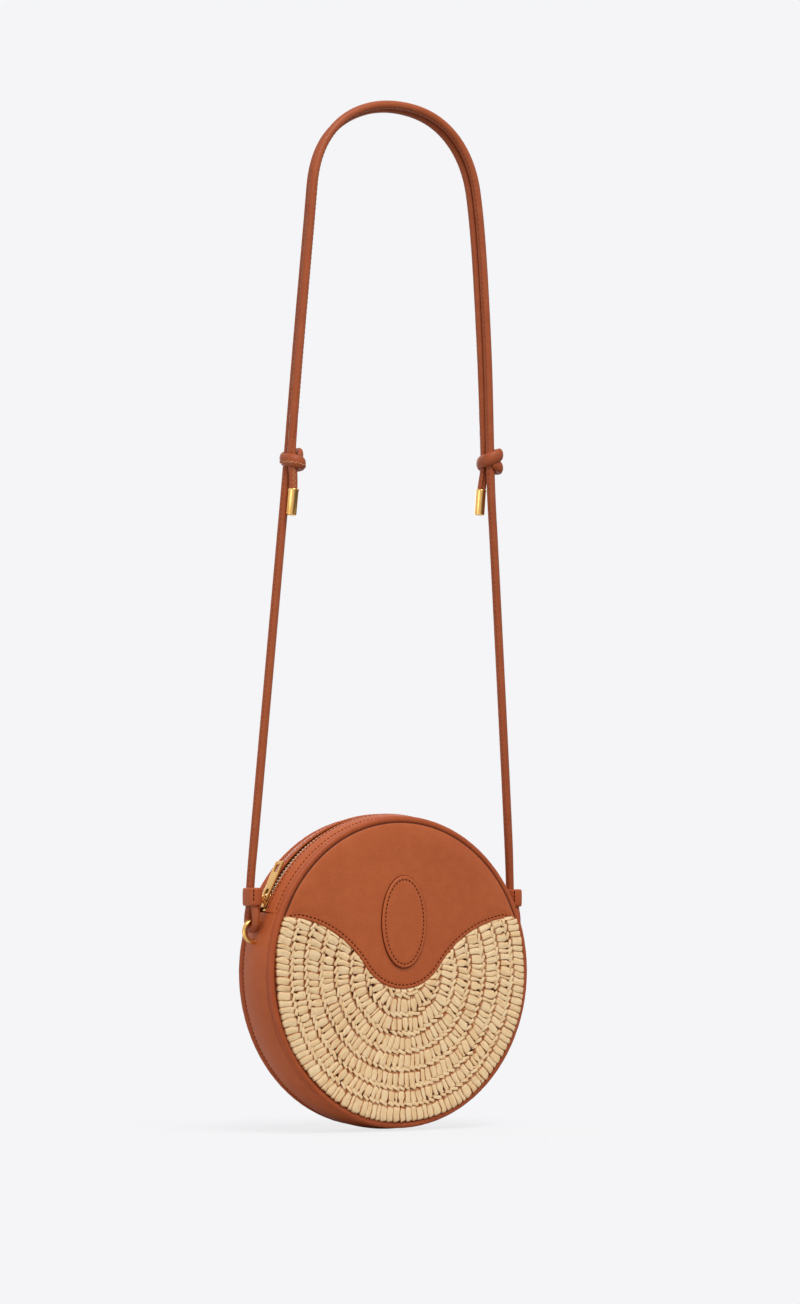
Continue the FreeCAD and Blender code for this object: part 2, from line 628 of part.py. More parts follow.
def keeper(label, side):
    """Leather band round both strands of a cord's loop."""
    body = new_body(label)
    body.setExpression("Placement.Base.x", f"{side} * {CORD_SIDE}")
    half_x = "(dims.cord_diameter / 2 + dims.cord_gap + dims.keeper_wall)"
    half_y = f"({STRAND_Y} + dims.cord_diameter / 2 + dims.cord_gap + dims.keeper_wall)"
    for name, inset in (("band", "0"), ("bore", "dims.keeper_wall")):
        sketch = new_sketch(body, f"{label}_{name}", "XY_Plane", KEEPER_BOTTOM)
        wide = f"({half_x} - {inset})"
        reach = f"({half_y} - {half_x})"
        bend = f"{wide} * {HALF_ROUND}"
        outline(sketch, [(f"-{wide}", f"-{reach}"), (wide, f"-{reach}"), (wide, reach), (f"-{wide}", reach)],
                {0: (bend, -1), 2: (bend, -1)})
        if name == "band":
            pad(body, sketch, "dims.keeper_height")
        else:
            cut_through(body, sketch)
    return body


def ferrule(label, route):
    """Brass cap on a cord's free end: closed foot, bored for the cord, beaded mouth."""
    body = new_body(label)
    foot, before = Vector(*route[-1]), Vector(*route[-2])
    heading = (before - foot).normalize()
    base = foot - heading * (size("ferrule_floor") + size("seat_gap"))
    turn = FreeCAD.Rotation(Vector(0, 0, 1), heading)
    body.Placement = FreeCAD.Placement(base, turn)
    body.setExpression("Placement.Base.z", f"{base.z} - dims.hang_drop")
    sketch = new_sketch(body, label + "_profile", "XZ_Plane")
    outer = "dims.ferrule_diameter / 2"
    bead = f"({outer} + dims.ferrule_bead)"
    bore = "(dims.cord_diameter / 2 + dims.cord_gap / 2)"
    lip = "(dims.ferrule_length - 4 * dims.ferrule_bead)"
    corners = [
        ("0", "0"), (outer, "0"), (outer, lip), (bead, f"{lip} + dims.ferrule_bead"),
        (bead, f"{lip} + 3 * dims.ferrule_bead"), (outer, "dims.ferrule_length"),
        (bore, "dims.ferrule_length"), (bore, "dims.ferrule_floor"), ("0", "dims.ferrule_floor"),
    ]
    outline(sketch, corners)
    feature = body.newObject("PartDesign::Revolution", label + "_turn")
    feature.Profile = sketch
    feature.ReferenceAxis = (sketch, ["V_Axis"])
    feature.Angle = 360
    return body


def slider_frame(body):
    """Stand a body at the slider's place: its own X along the zip, its own Z away from the disc centre."""
    body.Placement.Rotation = FreeCAD.Rotation(Vector(0, 1, 0), -size("slider_angle"))


def rectangle(sketch, low_x, high_x, low_y, high_y):
    """Rectangle between expressions."""
    outline(sketch, [(low_x, low_y), (high_x, low_y), (high_x, high_y), (low_x, high_y)])


def zip_slider():
    """Slider: top plate with side lips over the teeth and a bridge that holds the pull."""
    body = new_body("zip_slider")
    slider_frame(body)
    half = "dims.slider_length / 2"
    plan = new_sketch(body, "slider_plan", "XY_Plane", f"{TAPE_TOP} + dims.running_gap")
    rectangle(plan, f"-{half}", half, "-dims.slider_half", "dims.slider_half")
    pad(body, plan, f"{SLIDER_TOP} - {TAPE_TOP} - dims.running_gap")
    channel = new_sketch(body, "slider_channel", "YZ_Plane")
    inner = "(dims.slider_half - dims.slider_lip)"
    rectangle(channel, f"-{inner}", inner, TAPE_TOP, SLIDER_BASE)
    cut_through(body, channel)
    side = new_sketch(body, "bridge_side", "XZ_Plane")
    span = "(dims.bridge_window / 2 + dims.bridge_wall)"
    rectangle(side, f"-{span}", span, SLIDER_TOP, f"{SLIDER_TOP} + dims.bridge_height + dims.bridge_wall")
    pad(body, side, "2 * dims.bridge_half", True)
    window = new_sketch(body, "bridge_window_side", "XZ_Plane")
    rectangle(window, "-dims.bridge_window / 2", "dims.bridge_window / 2", SLIDER_TOP,
              f"{SLIDER_TOP} + dims.bridge_height")
    cut_through(body, window)
    return body


def zip_pull():
    """Flat pull with a slot for the bridge and a window at its tip."""
    body = new_body("zip_pull")
    slider_frame(body)
    plan = new_sketch(body, "pull_plan", "XY_Plane", HINGE_RADIUS)
    half = "dims.pull_width / 2"
    rectangle(plan, "-dims.pull_bar", "dims.pull_length", f"-{half}", half)
    pad(body, plan, "dims.pull_wall", True)
    slot = new_sketch(body, "pull_slot_plan", "XY_Plane", HINGE_RADIUS)
    rectangle(slot, "dims.pull_bar", "dims.pull_bar + dims.pull_slot", "-dims.pull_slot_width / 2",
              "dims.pull_slot_width / 2")
    cut_through(body, slot)
    window = new_sketch(body, "pull_window_plan", "XY_Plane", HINGE_RADIUS)
    tip = "dims.pull_length - dims.pull_frame"
    rectangle(window, f"{tip} - dims.pull_window", tip, "-dims.pull_window_width / 2",
              "dims.pull_window_width / 2")
    cut_through(body, window)
    return body


parts = [
    gusset_band(),
    gusset_lining(),
    zip_strip("zip_strip_front", 0),
    zip_strip("zip_strip_rear", 180),
    zip_tape("zip_tape_front", 0),
    zip_tape("zip_tape_rear", 180),
    tooth_row("zip_teeth_front", -1),
    tooth_row("zip_teeth_rear", 1),
    zip_stop("zip_stop_left", -1),
    zip_stop("zip_stop_right", 1),
    disc("front_board", PANEL_BACK, "dims.board_wall"),
    disc("front_lining", f"{PANEL_BACK} - dims.lining_wall - dims.seat_gap", "dims.lining_wall"),
    crochet_panel(),
    front_yoke(),
    oval_badge(),
    piping("front_piping", 0),
    piping("back_piping", 180),
    back_panel(),
    disc("back_lining", f"-({PANEL_BACK} - dims.seat_gap)", "dims.lining_wall"),
    staple("staple_left", -1),
    staple("staple_right", 1),
    staple_plate("staple_plate_left", -1),
    staple_plate("staple_plate_right", 1),
    zip_slider(),
    zip_pull(),
    strap_cord("strap_cord_left", -1, LEFT_ROUTE),
    strap_cord("strap_cord_right", 1, RIGHT_ROUTE),
    knot("knot_left", KNOT_LEFT, -1),
    knot("knot_right", KNOT_RIGHT, 1),
    keeper("keeper_left", -1),
    keeper("keeper_right", 1),
    ferrule("ferrule_left", RIGHT_ROUTE),
    ferrule("ferrule_right", LEFT_ROUTE),
]
doc.recompute()

for item in doc.Objects:
    if "Invalid" in item.State or "Error" in item.State:
        raise RuntimeError(f"{item.Label} failed: {item.State}")
for part in parts:
    if part.Shape.isNull() or not part.Shape.isValid():
        raise RuntimeError(f"{part.Label} has no valid shape")

os.makedirs("parts", exist_ok=True)
for part in parts:
    part.Shape.exportStep(f"parts/{part.Label}.step")
    print(f"{part.Label}: {len(part.Shape.Solids)} solids, {part.Shape.Volume:.1f} mm3")
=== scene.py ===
"""Looks of a round crossbody bag: tan leather, crocheted raffia front, brass zip and a corded strap.

Shapes are drawn in millimetres about the centre of the bag's disc, front towards -Y, and placed in the
frame's metres when a piece is made. Angles round the disc run clockwise from the top, seen from the front.
"""

import bmesh
import bpy
import copy
import math
import numpy as np
import random
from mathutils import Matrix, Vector


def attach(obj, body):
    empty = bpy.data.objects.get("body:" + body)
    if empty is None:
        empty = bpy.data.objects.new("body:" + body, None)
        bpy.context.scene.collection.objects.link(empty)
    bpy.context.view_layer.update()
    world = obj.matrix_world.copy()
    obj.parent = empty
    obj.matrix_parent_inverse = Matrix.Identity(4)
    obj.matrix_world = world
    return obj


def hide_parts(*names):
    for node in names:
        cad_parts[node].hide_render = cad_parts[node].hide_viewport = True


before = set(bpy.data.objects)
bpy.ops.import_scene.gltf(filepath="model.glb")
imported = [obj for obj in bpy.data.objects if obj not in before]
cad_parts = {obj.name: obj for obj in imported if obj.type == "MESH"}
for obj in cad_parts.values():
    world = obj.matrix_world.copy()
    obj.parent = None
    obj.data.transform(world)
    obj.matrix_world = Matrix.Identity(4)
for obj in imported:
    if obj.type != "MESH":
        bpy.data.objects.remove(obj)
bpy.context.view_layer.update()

HANG_DROP = 586.0
RIGHT = Vector((1, 0, 0))
FRONT = Vector((0, -1, 0))
UP = Vector((0, 0, 1))


def in_frame(point):
    """Millimetres about the disc centre to metres in the frame."""
    return Vector((point.x, point.y, point.z - HANG_DROP)) / 1000


def round_disc(radius, angle, depth=0.0):
    """Point on a circle round the disc's axis, the angle in degrees clockwise from the top."""
    turn = math.radians(angle)
    return Vector((radius * math.sin(turn), depth, radius * math.cos(turn)))


def radial(angle):
    """Direction away from the disc's axis."""
    return round_disc(1.0, angle)


def clockwise(angle):
    """Direction along the disc's rim."""
    return round_disc(1.0, angle + 90)


def turns(count):
    """Even steps round a circle, in radians."""
    return [math.tau * step / count for step in range(count)]


def oval(centre, across, up, count):
    """Closed row of points round a centre, from its two half axes."""
    return [centre + across * math.cos(turn) + up * math.sin(turn) for turn in turns(count)]


def way_at(line, number):
    """Direction of a line of points at one of them."""
    return (line[min(number + 1, len(line) - 1)] - line[max(number - 1, 0)]).normalized()


def length_of(line):
    return sum((second - first).length for first, second in zip(line, line[1:]))


# Shaders


def shade(red, green, blue):
    """Colour from display values of 0 to 255."""
    def linear(value):
        value /= 255
        return value / 12.92 if value <= 0.04045 else ((value + 0.055) / 1.055) ** 2.4
    return (linear(red), linear(green), linear(blue), 1.0)


class Wire:
    """A shader socket that takes part in arithmetic; each operator adds a Math node."""

    def __init__(self, bench, socket):
        self.bench = bench
        self.socket = socket

    def __add__(self, other):
        return self.bench.math("ADD", self, other)

    __radd__ = __add__

    def __sub__(self, other):
        return self.bench.math("SUBTRACT", self, other)

    def __rsub__(self, other):
        return self.bench.math("SUBTRACT", other, self)

    def __mul__(self, other):
        return self.bench.math("MULTIPLY", self, other)

    def __pow__(self, other):
        return self.bench.math("POWER", self, other)


class Bench:
    """The node tree of one finish, or of the surroundings."""

    def __init__(self, name, kind="materials"):
        self.finish = getattr(bpy.data, kind).new(name)
        self.finish.use_nodes = True
        self.tree = self.finish.node_tree
        self.tree.nodes.clear()

    def node(self, kind, sockets=None, settings=None, output=0):
        """Add a shader node: its settings first, then the values or links of its sockets."""
        node = self.tree.nodes.new("ShaderNode" + kind)
        for key, value in (settings or {}).items():
            setattr(node, key, value)
        for key, value in (sockets or {}).items():
            if isinstance(value, Wire):
                self.tree.links.new(value.socket, node.inputs[key])
            else:
                node.inputs[key].default_value = value
        return Wire(self, node.outputs[output]) if len(node.outputs) else None

    def math(self, operation, left, right):
        return self.node("Math", {0: left, 1: right}, {"operation": operation})

    def vector_math(self, operation, left, right=(0, 0, 0), output=0):
        return self.node("VectorMath", {0: left, 1: right}, {"operation": operation}, output)

    def blend(self, share, first, second):
        """Mix of two colours, each a wire or display values."""
        first, second = (tint if isinstance(tint, Wire) else shade(*tint) for tint in (first, second))
        settings = {"data_type": "RGBA", "clamp_factor": True}
        return self.node("Mix", {0: share, 6: first, 7: second}, settings, output=2)

    def mix(self, share, first, second):
        """Mix of two shaders."""
        return self.node("MixShader", {0: share, 1: first, 2: second})

    def spread(self, value, low, high):
        """Value rescaled so that low gives 0 and high gives 1, held between them."""
        return self.node("MapRange", {"Value": value, "From Min": low, "From Max": high}, {"clamp": True})

    def place(self):
        """Place on the piece, in metres."""
        return self.node("TexCoord", output="Object")

    def attribute(self, name, output="Fac"):
        """Value stored on the piece's points."""
        return self.node("Attribute", settings={"attribute_name": name}, output=output)

    def ray(self, kind):
        """1 for rays of a kind, otherwise 0."""
        return self.node("LightPath", output=kind)

    def noise(self, vector, scale, detail=2.0, roughness=0.5):
        sockets = {"Vector": vector, "Scale": scale, "Detail": detail, "Roughness": roughness}
        return self.node("TexNoise", sockets, output="Fac")

    def bands(self, vector, scale, distortion):
        """Slanting bands, as of twisted or woven thread."""
        sockets = {"Vector": vector, "Scale": scale, "Distortion": distortion}
        settings = {"wave_type": "BANDS", "bands_direction": "DIAGONAL"}
        return self.node("TexWave", sockets, settings, output="Fac")

    def stretch(self, vector, scale):
        """Vector scaled by its own factor along each axis."""
        return self.vector_math("MULTIPLY", vector, scale)

    def coat(self, colour, roughness, height, deep, shine=0.5, metal=0.0):
        """Close the tree with the surface shader, whose relief is a height times a depth in metres."""
        relief = self.node("Bump", {"Height": height, "Distance": deep})
        sockets = {"Base Color": colour, "Roughness": roughness, "Specular IOR Level": shine,
                   "Metallic": metal, "Normal": relief}
        self.node("OutputMaterial", {"Surface": self.node("BsdfPrincipled", sockets)})
        return self.finish


def leather_finish(name, deep, middle, pale, grain=1.0, matt=0.48, shine=0.26):
    """Smooth calf leather: clouded dye, fine pores, faint creases and a soft polish."""
    bench = Bench(name)
    place = bench.place()
    cloud = bench.noise(place, 16.0, 3.0, 0.55)
    mottle = bench.noise(place, 130.0, 3.0, 0.6)
    pores = bench.node("TexVoronoi", {"Vector": place, "Scale": 1050.0, "Smoothness": 0.35},
                       {"feature": "SMOOTH_F1"}, output="Distance")
    fibre = bench.noise(place, 2600.0)
    crease = bench.noise(bench.stretch(place, (1.0, 1.0, 2.2)), 260.0, 4.0, 0.62)
    dye = bench.spread(cloud * 0.6 + mottle * 0.4, 0.22, 0.66)
    colour = bench.blend(dye, deep, middle)
    colour = bench.blend(bench.spread(mottle * 0.4 + fibre * 0.6, 0.5, 0.8) * 0.4, colour, pale)
    colour = bench.blend(bench.spread(pores, 0.62, 0.95) * 0.22, colour, deep)
    roughness = matt + (mottle - 0.5) * 0.16 + (crease - 0.5) * 0.1
    return bench.coat(colour, roughness, pores * -0.55 + crease * 0.75 + fibre * 0.25, 0.00014 * grain, shine)


def thread_finish(name, dark, light):
    """Waxed sewing thread with its twist."""
    bench = Bench(name)
    place = bench.place()
    twist = bench.bands(place, 420.0, 1.5)
    worn = bench.noise(place, 320.0)
    colour = bench.blend(bench.spread(twist * 0.6 + worn * 0.4, 0.25, 0.8), dark, light)
    return bench.coat(colour, 0.55 + worn * 0.2, twist, 0.0001, shine=0.03)


def raffia_finish(name):
    """Raffia strands: straw colour, streaked along the strand, with painted shade browning their edges and
    where they dive.
    """
    bench = Bench(name)
    strand = bench.attribute("strand", "Vector")
    streak = bench.noise(bench.stretch(strand, (0.9, 0.9, 0.10)), 1.0, 3.0, 0.55)
    fibre = bench.noise(bench.stretch(strand, (4.5, 4.5, 0.25)), 1.0, 2.0, 0.55)
    knock = bench.noise(bench.stretch(strand, (0.45, 0.45, 0.30)), 1.0)
    # How deep each point lies, for the painted shade in the hollows below
    depth = bench.node("SeparateXYZ", {0: bench.place()}, output="Y")
    height = bench.spread(depth * -1000.0, 20.0, 21.0)
    colour = bench.blend(bench.spread(streak, 0.34, 0.68), (253, 224, 178), (237, 194, 137))
    colour = bench.blend(bench.spread(fibre, 0.48, 0.74) * 0.5, colour, (205, 148, 88))
    colour = bench.blend(bench.attribute("tone") * 0.45, colour, (251, 226, 183))
    colour = bench.blend(bench.spread(knock, 0.55, 0.75) * 0.4, colour, (226, 182, 130))
    broken = bench.spread(knock, 0.35, 0.6) * 0.5 + 0.5
    # Painted shade: brown along the creases between strands and at their ends, from the edge value, broken by
    # noise
    colour = bench.blend(bench.spread(bench.attribute("edge"), 0.68, 0.9) * broken, colour, (156, 72, 0))
    # Painted shade: the deeper a point lies, the darker brown it turns
    colour = bench.blend((1 - height) ** 1.2 * 0.95, colour, (128, 48, 2))
    return bench.coat(colour, 0.52 + streak * 0.2, streak * 0.7 + fibre * 0.3, 0.00025, shine=0.3)


def shadow_cloth_finish(name):
    """Cloth behind the crochet, seen through its small gaps, dark brown as painted shade."""
    bench = Bench(name)
    weave = bench.noise(bench.place(), 900.0)
    return bench.coat(bench.blend(weave, (46, 20, 8), (78, 38, 16)), 0.8 + weave * 0.1, weave, 0.0002)


def metal_finish(name, pale, deep, satin):
    """Polished metal with a fine brushed grain and faint handling marks."""
    bench = Bench(name)
    place = bench.place()
    haze = bench.noise(place, 55.0, 3.0)
    brushed = bench.noise(bench.stretch(place, (1.0, 1.0, 9.0)), 520.0, 3.0, 0.65)
    colour = bench.blend(bench.spread(haze * 0.7 + brushed * 0.3, 0.36, 0.66), pale, deep)
    return bench.coat(colour, satin + haze * 0.09 + brushed * 0.07, brushed, 0.000012, metal=1.0)


def tape_finish(name):
    """Woven zip tape: a close twill."""
    bench = Bench(name)
    place = bench.place()
    twill = bench.bands(place, 310.0, 0.6)
    fuzz = bench.noise(place, 1500.0)
    colour = bench.blend(twill * 0.7 + fuzz * 0.3, (98, 52, 28), (150, 86, 52))
    return bench.coat(colour, 0.78 + fuzz * 0.12, twill * 0.8 + fuzz * 0.2, 0.00022)


def lining_finish(name, low, high):
    """Plain woven cloth or board inside the bag."""
    bench = Bench(name)
    place = bench.place()
    weave = bench.node("TexChecker", {"Vector": place, "Scale": 1600.0}, output="Fac")
    fuzz = bench.noise(place, 700.0, 3.0)
    colour = bench.blend(weave * 0.4 + fuzz * 0.6, low, high)
    return bench.coat(colour, 0.75 + fuzz * 0.15, weave * 0.5 + fuzz * 0.5, 0.00015)


LEATHER = leather_finish("tan_leather", (176, 84, 42), (188, 95, 50), (203, 115, 69), matt=0.5)
CORD_LEATHER = leather_finish("cord_leather", (152, 71, 35), (168, 84, 46), (187, 105, 66), 1.4, 0.46)
EDGE_LEATHER = leather_finish("edge_leather", (170, 79, 39), (183, 90, 47), (199, 109, 65))
DARK_EDGE = leather_finish("dark_edge", (74, 27, 10), (92, 38, 15), (118, 54, 24), 0.8, 0.6, 0.04)
PIPING_LEATHER = leather_finish("piping_leather", (164, 75, 36), (177, 85, 44), (193, 104, 62))
# Dark brown leather for the groove beside the front piping: painted shade
GROOVE_SHADE_LEATHER = leather_finish("groove_shade_leather", (98, 37, 14), (117, 48, 21), (138, 62, 30), 0.8, 0.6, 0.04)
THREAD = thread_finish("brown_thread", (66, 21, 6), (108, 45, 18))
CORD_THREAD = thread_finish("cord_thread", (92, 38, 16), (132, 62, 31))
PALE_THREAD = thread_finish("pale_thread", (186, 118, 76), (228, 172, 130))
RAFFIA = raffia_finish("raffia")
SHADOW_CLOTH = shadow_cloth_finish("shadow_cloth")
BRASS = metal_finish("pale_brass", (242, 196, 124), (224, 170, 92), 0.15)
SATIN_BRASS = metal_finish("satin_brass", (236, 190, 118), (216, 164, 90), 0.22)
# Near-white brass for the zip teeth: a painted highlight on their heads
TOOTH_HIGHLIGHT_BRASS = metal_finish("tooth_highlight_brass", (252, 236, 204), (236, 208, 158), 0.18)
TAPE = tape_finish("zip_tape_cloth")
LINING = lining_finish("lining_cloth", (120, 84, 58), (150, 110, 78))
BOARD = lining_finish("board", (150, 130, 104), (176, 156, 128))
STEEL = metal_finish("plate_steel", (170, 168, 164), (140, 138, 135), 0.35)


# Making pieces

THREAD_WIDTH = 0.62
SEWING_PITCH = 3.05
STITCH_FILL = 0.72
THREAD_SIDES = 6
TUBE_SIDES = 16
DISC_STEPS = 160
# Share of the length, lift and girth along one stitch
STITCH_ARCH = ((-0.5, -0.5, 0.55), (-0.36, 0.0, 0.9), (0.0, 0.2, 1.0), (0.36, 0.0, 0.9), (0.5, -0.5, 0.55))
# Share of the way into a rolled end, and how far it still drops there
END_ROLL = ((0.0, 1.0), (0.12, 0.45), (0.45, 0.12), (1.0, 0.0))
# Where the rounding of a plate's edge passes, as a share of that edge
SOFT_EDGE = 0.3


def add_object(name, data):
    """New object in the scene."""
    thing = bpy.data.objects.new(name, data)
    bpy.context.scene.collection.objects.link(thing)
    return thing


class Form:
    """Points and faces gathered for one piece."""

    def __init__(self):
        self.points = []
        self.faces = []
        self.strand = []
        self.tone = []
        self.edge = []

    def sheet(self, rows, ring=False, loop=False):
        """Faces between rows of points; ring closes each row and loop joins the last row to the first."""
        base = len(self.points)
        width = len(rows[0])
        for row in rows:
            self.points.extend(row)
        for upper in range(len(rows) if loop else len(rows) - 1):
            lower = (upper + 1) % len(rows)
            for left in range(width if ring else width - 1):
                right = (left + 1) % width
                self.faces.append((base + upper * width + left, base + upper * width + right,
                                   base + lower * width + right, base + lower * width + left))
        return self

    def ring(self, rows):
        """Closed rows that meet again after a whole turn."""
        return self.sheet(rows, ring=True, loop=True)

    def solid(self, rows):
        """Closed rows with a face over each end."""
        first = len(self.points)
        self.sheet(rows, ring=True)
        width = len(rows[0])
        self.faces.append(tuple(range(first, first + width)))
        self.faces.append(tuple(range(len(self.points) - width, len(self.points))))
        return self

    def paint(self, strand, tone, edge):
        """What the raffia's finish reads at the next point."""
        self.strand.append(strand)
        self.tone.append(tone)
        self.edge.append(edge)

    def make(self, name, finish, body, slot, stands_for=(), sharp=None):
        """Turn the gathered shape into a piece that rides on a body."""
        mesh = bpy.data.meshes.new(name)
        mesh.from_pydata([in_frame(point) for point in self.points], [], self.faces)
        work = bmesh.new()
        work.from_mesh(mesh)
        bmesh.ops.recalc_face_normals(work, faces=work.faces)
        work.to_mesh(mesh)
        work.free()
        mesh.polygons.foreach_set("use_smooth", [True] * len(mesh.polygons))
        if sharp:
            mesh.set_sharp_from_angle(angle=math.radians(sharp))
        if self.strand:
            strand = mesh.attributes.new("strand", "FLOAT_VECTOR", "POINT")
            strand.data.foreach_set("vector", [part for spot in self.strand for part in spot])
            for label, values in (("tone", self.tone), ("edge", self.edge)):
                mesh.attributes.new(label, "FLOAT", "POINT").data.foreach_set("value", values)
        mesh.materials.append(finish)
        piece = add_object(name, mesh)
        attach(piece, body)
        if stands_for:
            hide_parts(*stands_for)
        return piece


def lathe(profile, start=0.0, end=360.0, steps=180, end_round=0.0):
    """A closed section of (depth, radius) turned round the disc's axis; end_round rolls its open ends."""
    closed = end - start >= 360
    count = steps if closed else steps + 1
    stations = [(start + (end - start) * step / steps, 0.0) for step in range(count)]
    if end_round:
        lead = math.degrees(end_round / profile[0][1])
        first = [(start + lead * share, end_round * fall) for share, fall in END_ROLL]
        final = [(end - lead * share, end_round * fall) for share, fall in reversed(END_ROLL)]
        stations = first + stations[3:-3] + final
    rows = [[round_disc(radius - drop, angle, depth) for depth, radius in profile]
            for angle, drop in stations]
    return Form().ring(rows) if closed else Form().solid(rows)


def disc(profile):
    """Round plate from (depth, radius) steps over its edge, flat on both faces."""
    return Form().solid([oval(FRONT * -depth, UP * radius, RIGHT * radius, DISC_STEPS)
                         for depth, radius in profile])


def stitch(form, middle, along, up, length, width=THREAD_WIDTH):
    """One stitch of thread that rises out of the leather and dives back in."""
    across = along.cross(up).normalized()
    rows = []
    for share, lift, girth in STITCH_ARCH:
        centre = middle + along * (share * length) + up * (lift * width)
        half = width / 2 * girth
        rows.append(oval(centre, across * half, up * half, THREAD_SIDES))
    form.solid(rows)


def circle_stitches(form, radius, depth, start, end, outward=radial):
    """Stitches along an arc round the disc; outward gives the surface direction from an angle."""
    count = int(math.radians(end - start) * radius / SEWING_PITCH)
    for number in range(count):
        angle = start + (end - start) * (number + 0.5) / count
        spot = round_disc(radius, angle, depth)
        stitch(form, spot, clockwise(angle), outward(angle), SEWING_PITCH * STITCH_FILL)


def line_stitches(form, points, pitch, width):
    """Evenly spaced stitches along a line of points, seen from the front."""
    total = length_of(points)
    count = int(total / pitch)
    wanted = [(number + 0.5) * total / count for number in range(count)]
    walked = 0.0
    for start, end in zip(points, points[1:]):
        step = (end - start).length
        while wanted and wanted[0] <= walked + step:
            spot = start.lerp(end, (wanted.pop(0) - walked) / step)
            stitch(form, spot, (end - start).normalized(), FRONT, pitch * STITCH_FILL, width)
        walked += step


def slab(form, outline, low, high, edge, place):
    """Flat plate with softened edges from a plan outline; place puts (x, y, z) of the plate in the bag."""
    middle = sum((Vector(spot) for spot in outline), Vector((0, 0))) / len(outline)
    soft = edge * SOFT_EDGE
    rows = []
    for inset, level in ((edge, low), (soft, low + soft), (0.0, low + edge), (0.0, high - edge),
                         (soft, high - soft), (edge, high)):
        row = []
        for spot in outline:
            arm = Vector(spot) - middle
            arm *= max(0.0, 1 - inset / arm.length)
            row.append(place(middle.x + arm.x, middle.y + arm.y, level))
        rows.append(row)
    form.solid(rows)


# Leather shell of the bag

GUSSET_HALF = 15.2
GUSSET_EDGE = 103.0
GUSSET_CROWN = 2.0
GUSSET_WALL = 2.0
GUSSET_STEPS = 200
STRIP_CROWN = 2.8
STRIP_WALL = 1.8
ZIP_HALF_ANGLE = 68.0
ZIP_STEPS = 140
ZIP_GAP_HALF = 3.95
BAND_GAP = 0.06
END_ROUND = 0.15
EDGE_SHARES = [0.0, 0.01, 0.025, 0.045, 0.07]
FIELD_STEPS = 22
STITCH_INSET = 1.7
ZIP_STITCH_INSET = 2.1
SEWN_DEEP = 0.3
SEWN_END = 1.2
GROOVE_DEEP = 0.28
GROOVE_WIDE = 0.6
PIPING_RADIUS = 101.35
PIPING_DEPTH = 17.75
PIPING_HALF = 2.5
PIPING_STEPS = 260
# Gathers along the piping as (height, pace, shift between the two rims)
GATHERS = ((0.035, 1.7, 0.0), (0.025, 0.93, 1.0))
# Flange in the groove between the front piping and the yoke, dark brown as painted shade
SHADE_FLANGE = [(-19.6, 97.4), (-20.0, 97.4), (-20.0, 99.6), (-19.9, 100.1), (-19.4, 100.1)]
BACK_SEWN = 94.6
BACK_STITCH_DEPTH = 20.36
BACK_SECTION = [(17.4, 98.5), (19.2, 98.6), (19.75, 98.45), (20.15, 98.0), (20.4, 97.3), (20.5, 96.4),
                (20.48, BACK_SEWN + 0.7), (20.3, BACK_SEWN), (20.48, BACK_SEWN - 0.7),
                (20.5, BACK_SEWN - 1.6), (20.5, 84.0)]


def crown_height(depth, crown):
    """Radius of a crowned band at a depth."""
    bow = (GUSSET_HALF ** 2 + crown ** 2) / (2 * crown)
    return GUSSET_EDGE + crown - (bow - math.sqrt(bow ** 2 - depth ** 2))


def band_section(first, last, crown, wall, grooves, roll):
    """Closed section of a leather band, its edges rolled and pressed down along each row of stitches."""
    rim = EDGE_SHARES[-1]
    field = [rim + (1 - 2 * rim) * number / FIELD_STEPS for number in range(1, FIELD_STEPS)]
    outer = []
    for share in EDGE_SHARES + field + [1 - share for share in reversed(EDGE_SHARES)]:
        depth = first + (last - first) * share
        near = min(abs(depth - first), abs(last - depth))
        radius = crown_height(depth, crown)
        if near < roll:
            radius -= roll - math.sqrt(roll ** 2 - (roll - near) ** 2)
        for groove in grooves:
            radius -= GROOVE_DEEP * math.exp(-((depth - groove) / GROOVE_WIDE) ** 2)
        outer.append((depth, radius))
    inner = [(depth, crown_height(depth, crown) - wall) for depth in (last, outer[len(outer) // 2][0], first)]
    return outer + inner


def gusset_shell():
    """Lower leather band, sewn along its rear edge."""
    row = GUSSET_HALF - STITCH_INSET
    section = band_section(-GUSSET_HALF, GUSSET_HALF, GUSSET_CROWN, GUSSET_WALL, (row,), roll=1.3)
    start = ZIP_HALF_ANGLE + BAND_GAP
    shell = lathe(section, start, 360 - start, GUSSET_STEPS, END_ROUND)
    shell.make("gusset_leather", LEATHER, "bag", "leather", ["gusset_lower"])
    sewing = Form()
    start = ZIP_HALF_ANGLE + SEWN_END
    circle_stitches(sewing, crown_height(row, GUSSET_CROWN) - SEWN_DEEP, row, start, 360 - start)
    sewing.make("gusset_stitches", THREAD, "bag", "dark_leather")


def zip_strips():
    """Leather strips beside the zip, each sewn along both edges."""
    sewing = Form()
    for name, side in (("front", -1), ("rear", 1)):
        sewn_rows = (side * (GUSSET_HALF - STITCH_INSET), side * (ZIP_GAP_HALF + ZIP_STITCH_INSET))
        first, last = sorted((side * ZIP_GAP_HALF, side * GUSSET_HALF))
        section = band_section(first, last, STRIP_CROWN, STRIP_WALL, sewn_rows, roll=0.6)
        strip = lathe(section, -ZIP_HALF_ANGLE, ZIP_HALF_ANGLE, ZIP_STEPS, END_ROUND)
        strip.make(f"zip_{name}_leather", LEATHER, "bag", "leather", [f"zip_strip_{name}"])
        end = ZIP_HALF_ANGLE - SEWN_END
        for depth in sewn_rows:
            circle_stitches(sewing, crown_height(depth, STRIP_CROWN) - SEWN_DEEP, depth, -end, end)
    sewing.make("zip_strip_stitches", THREAD, "bag", "dark_leather")


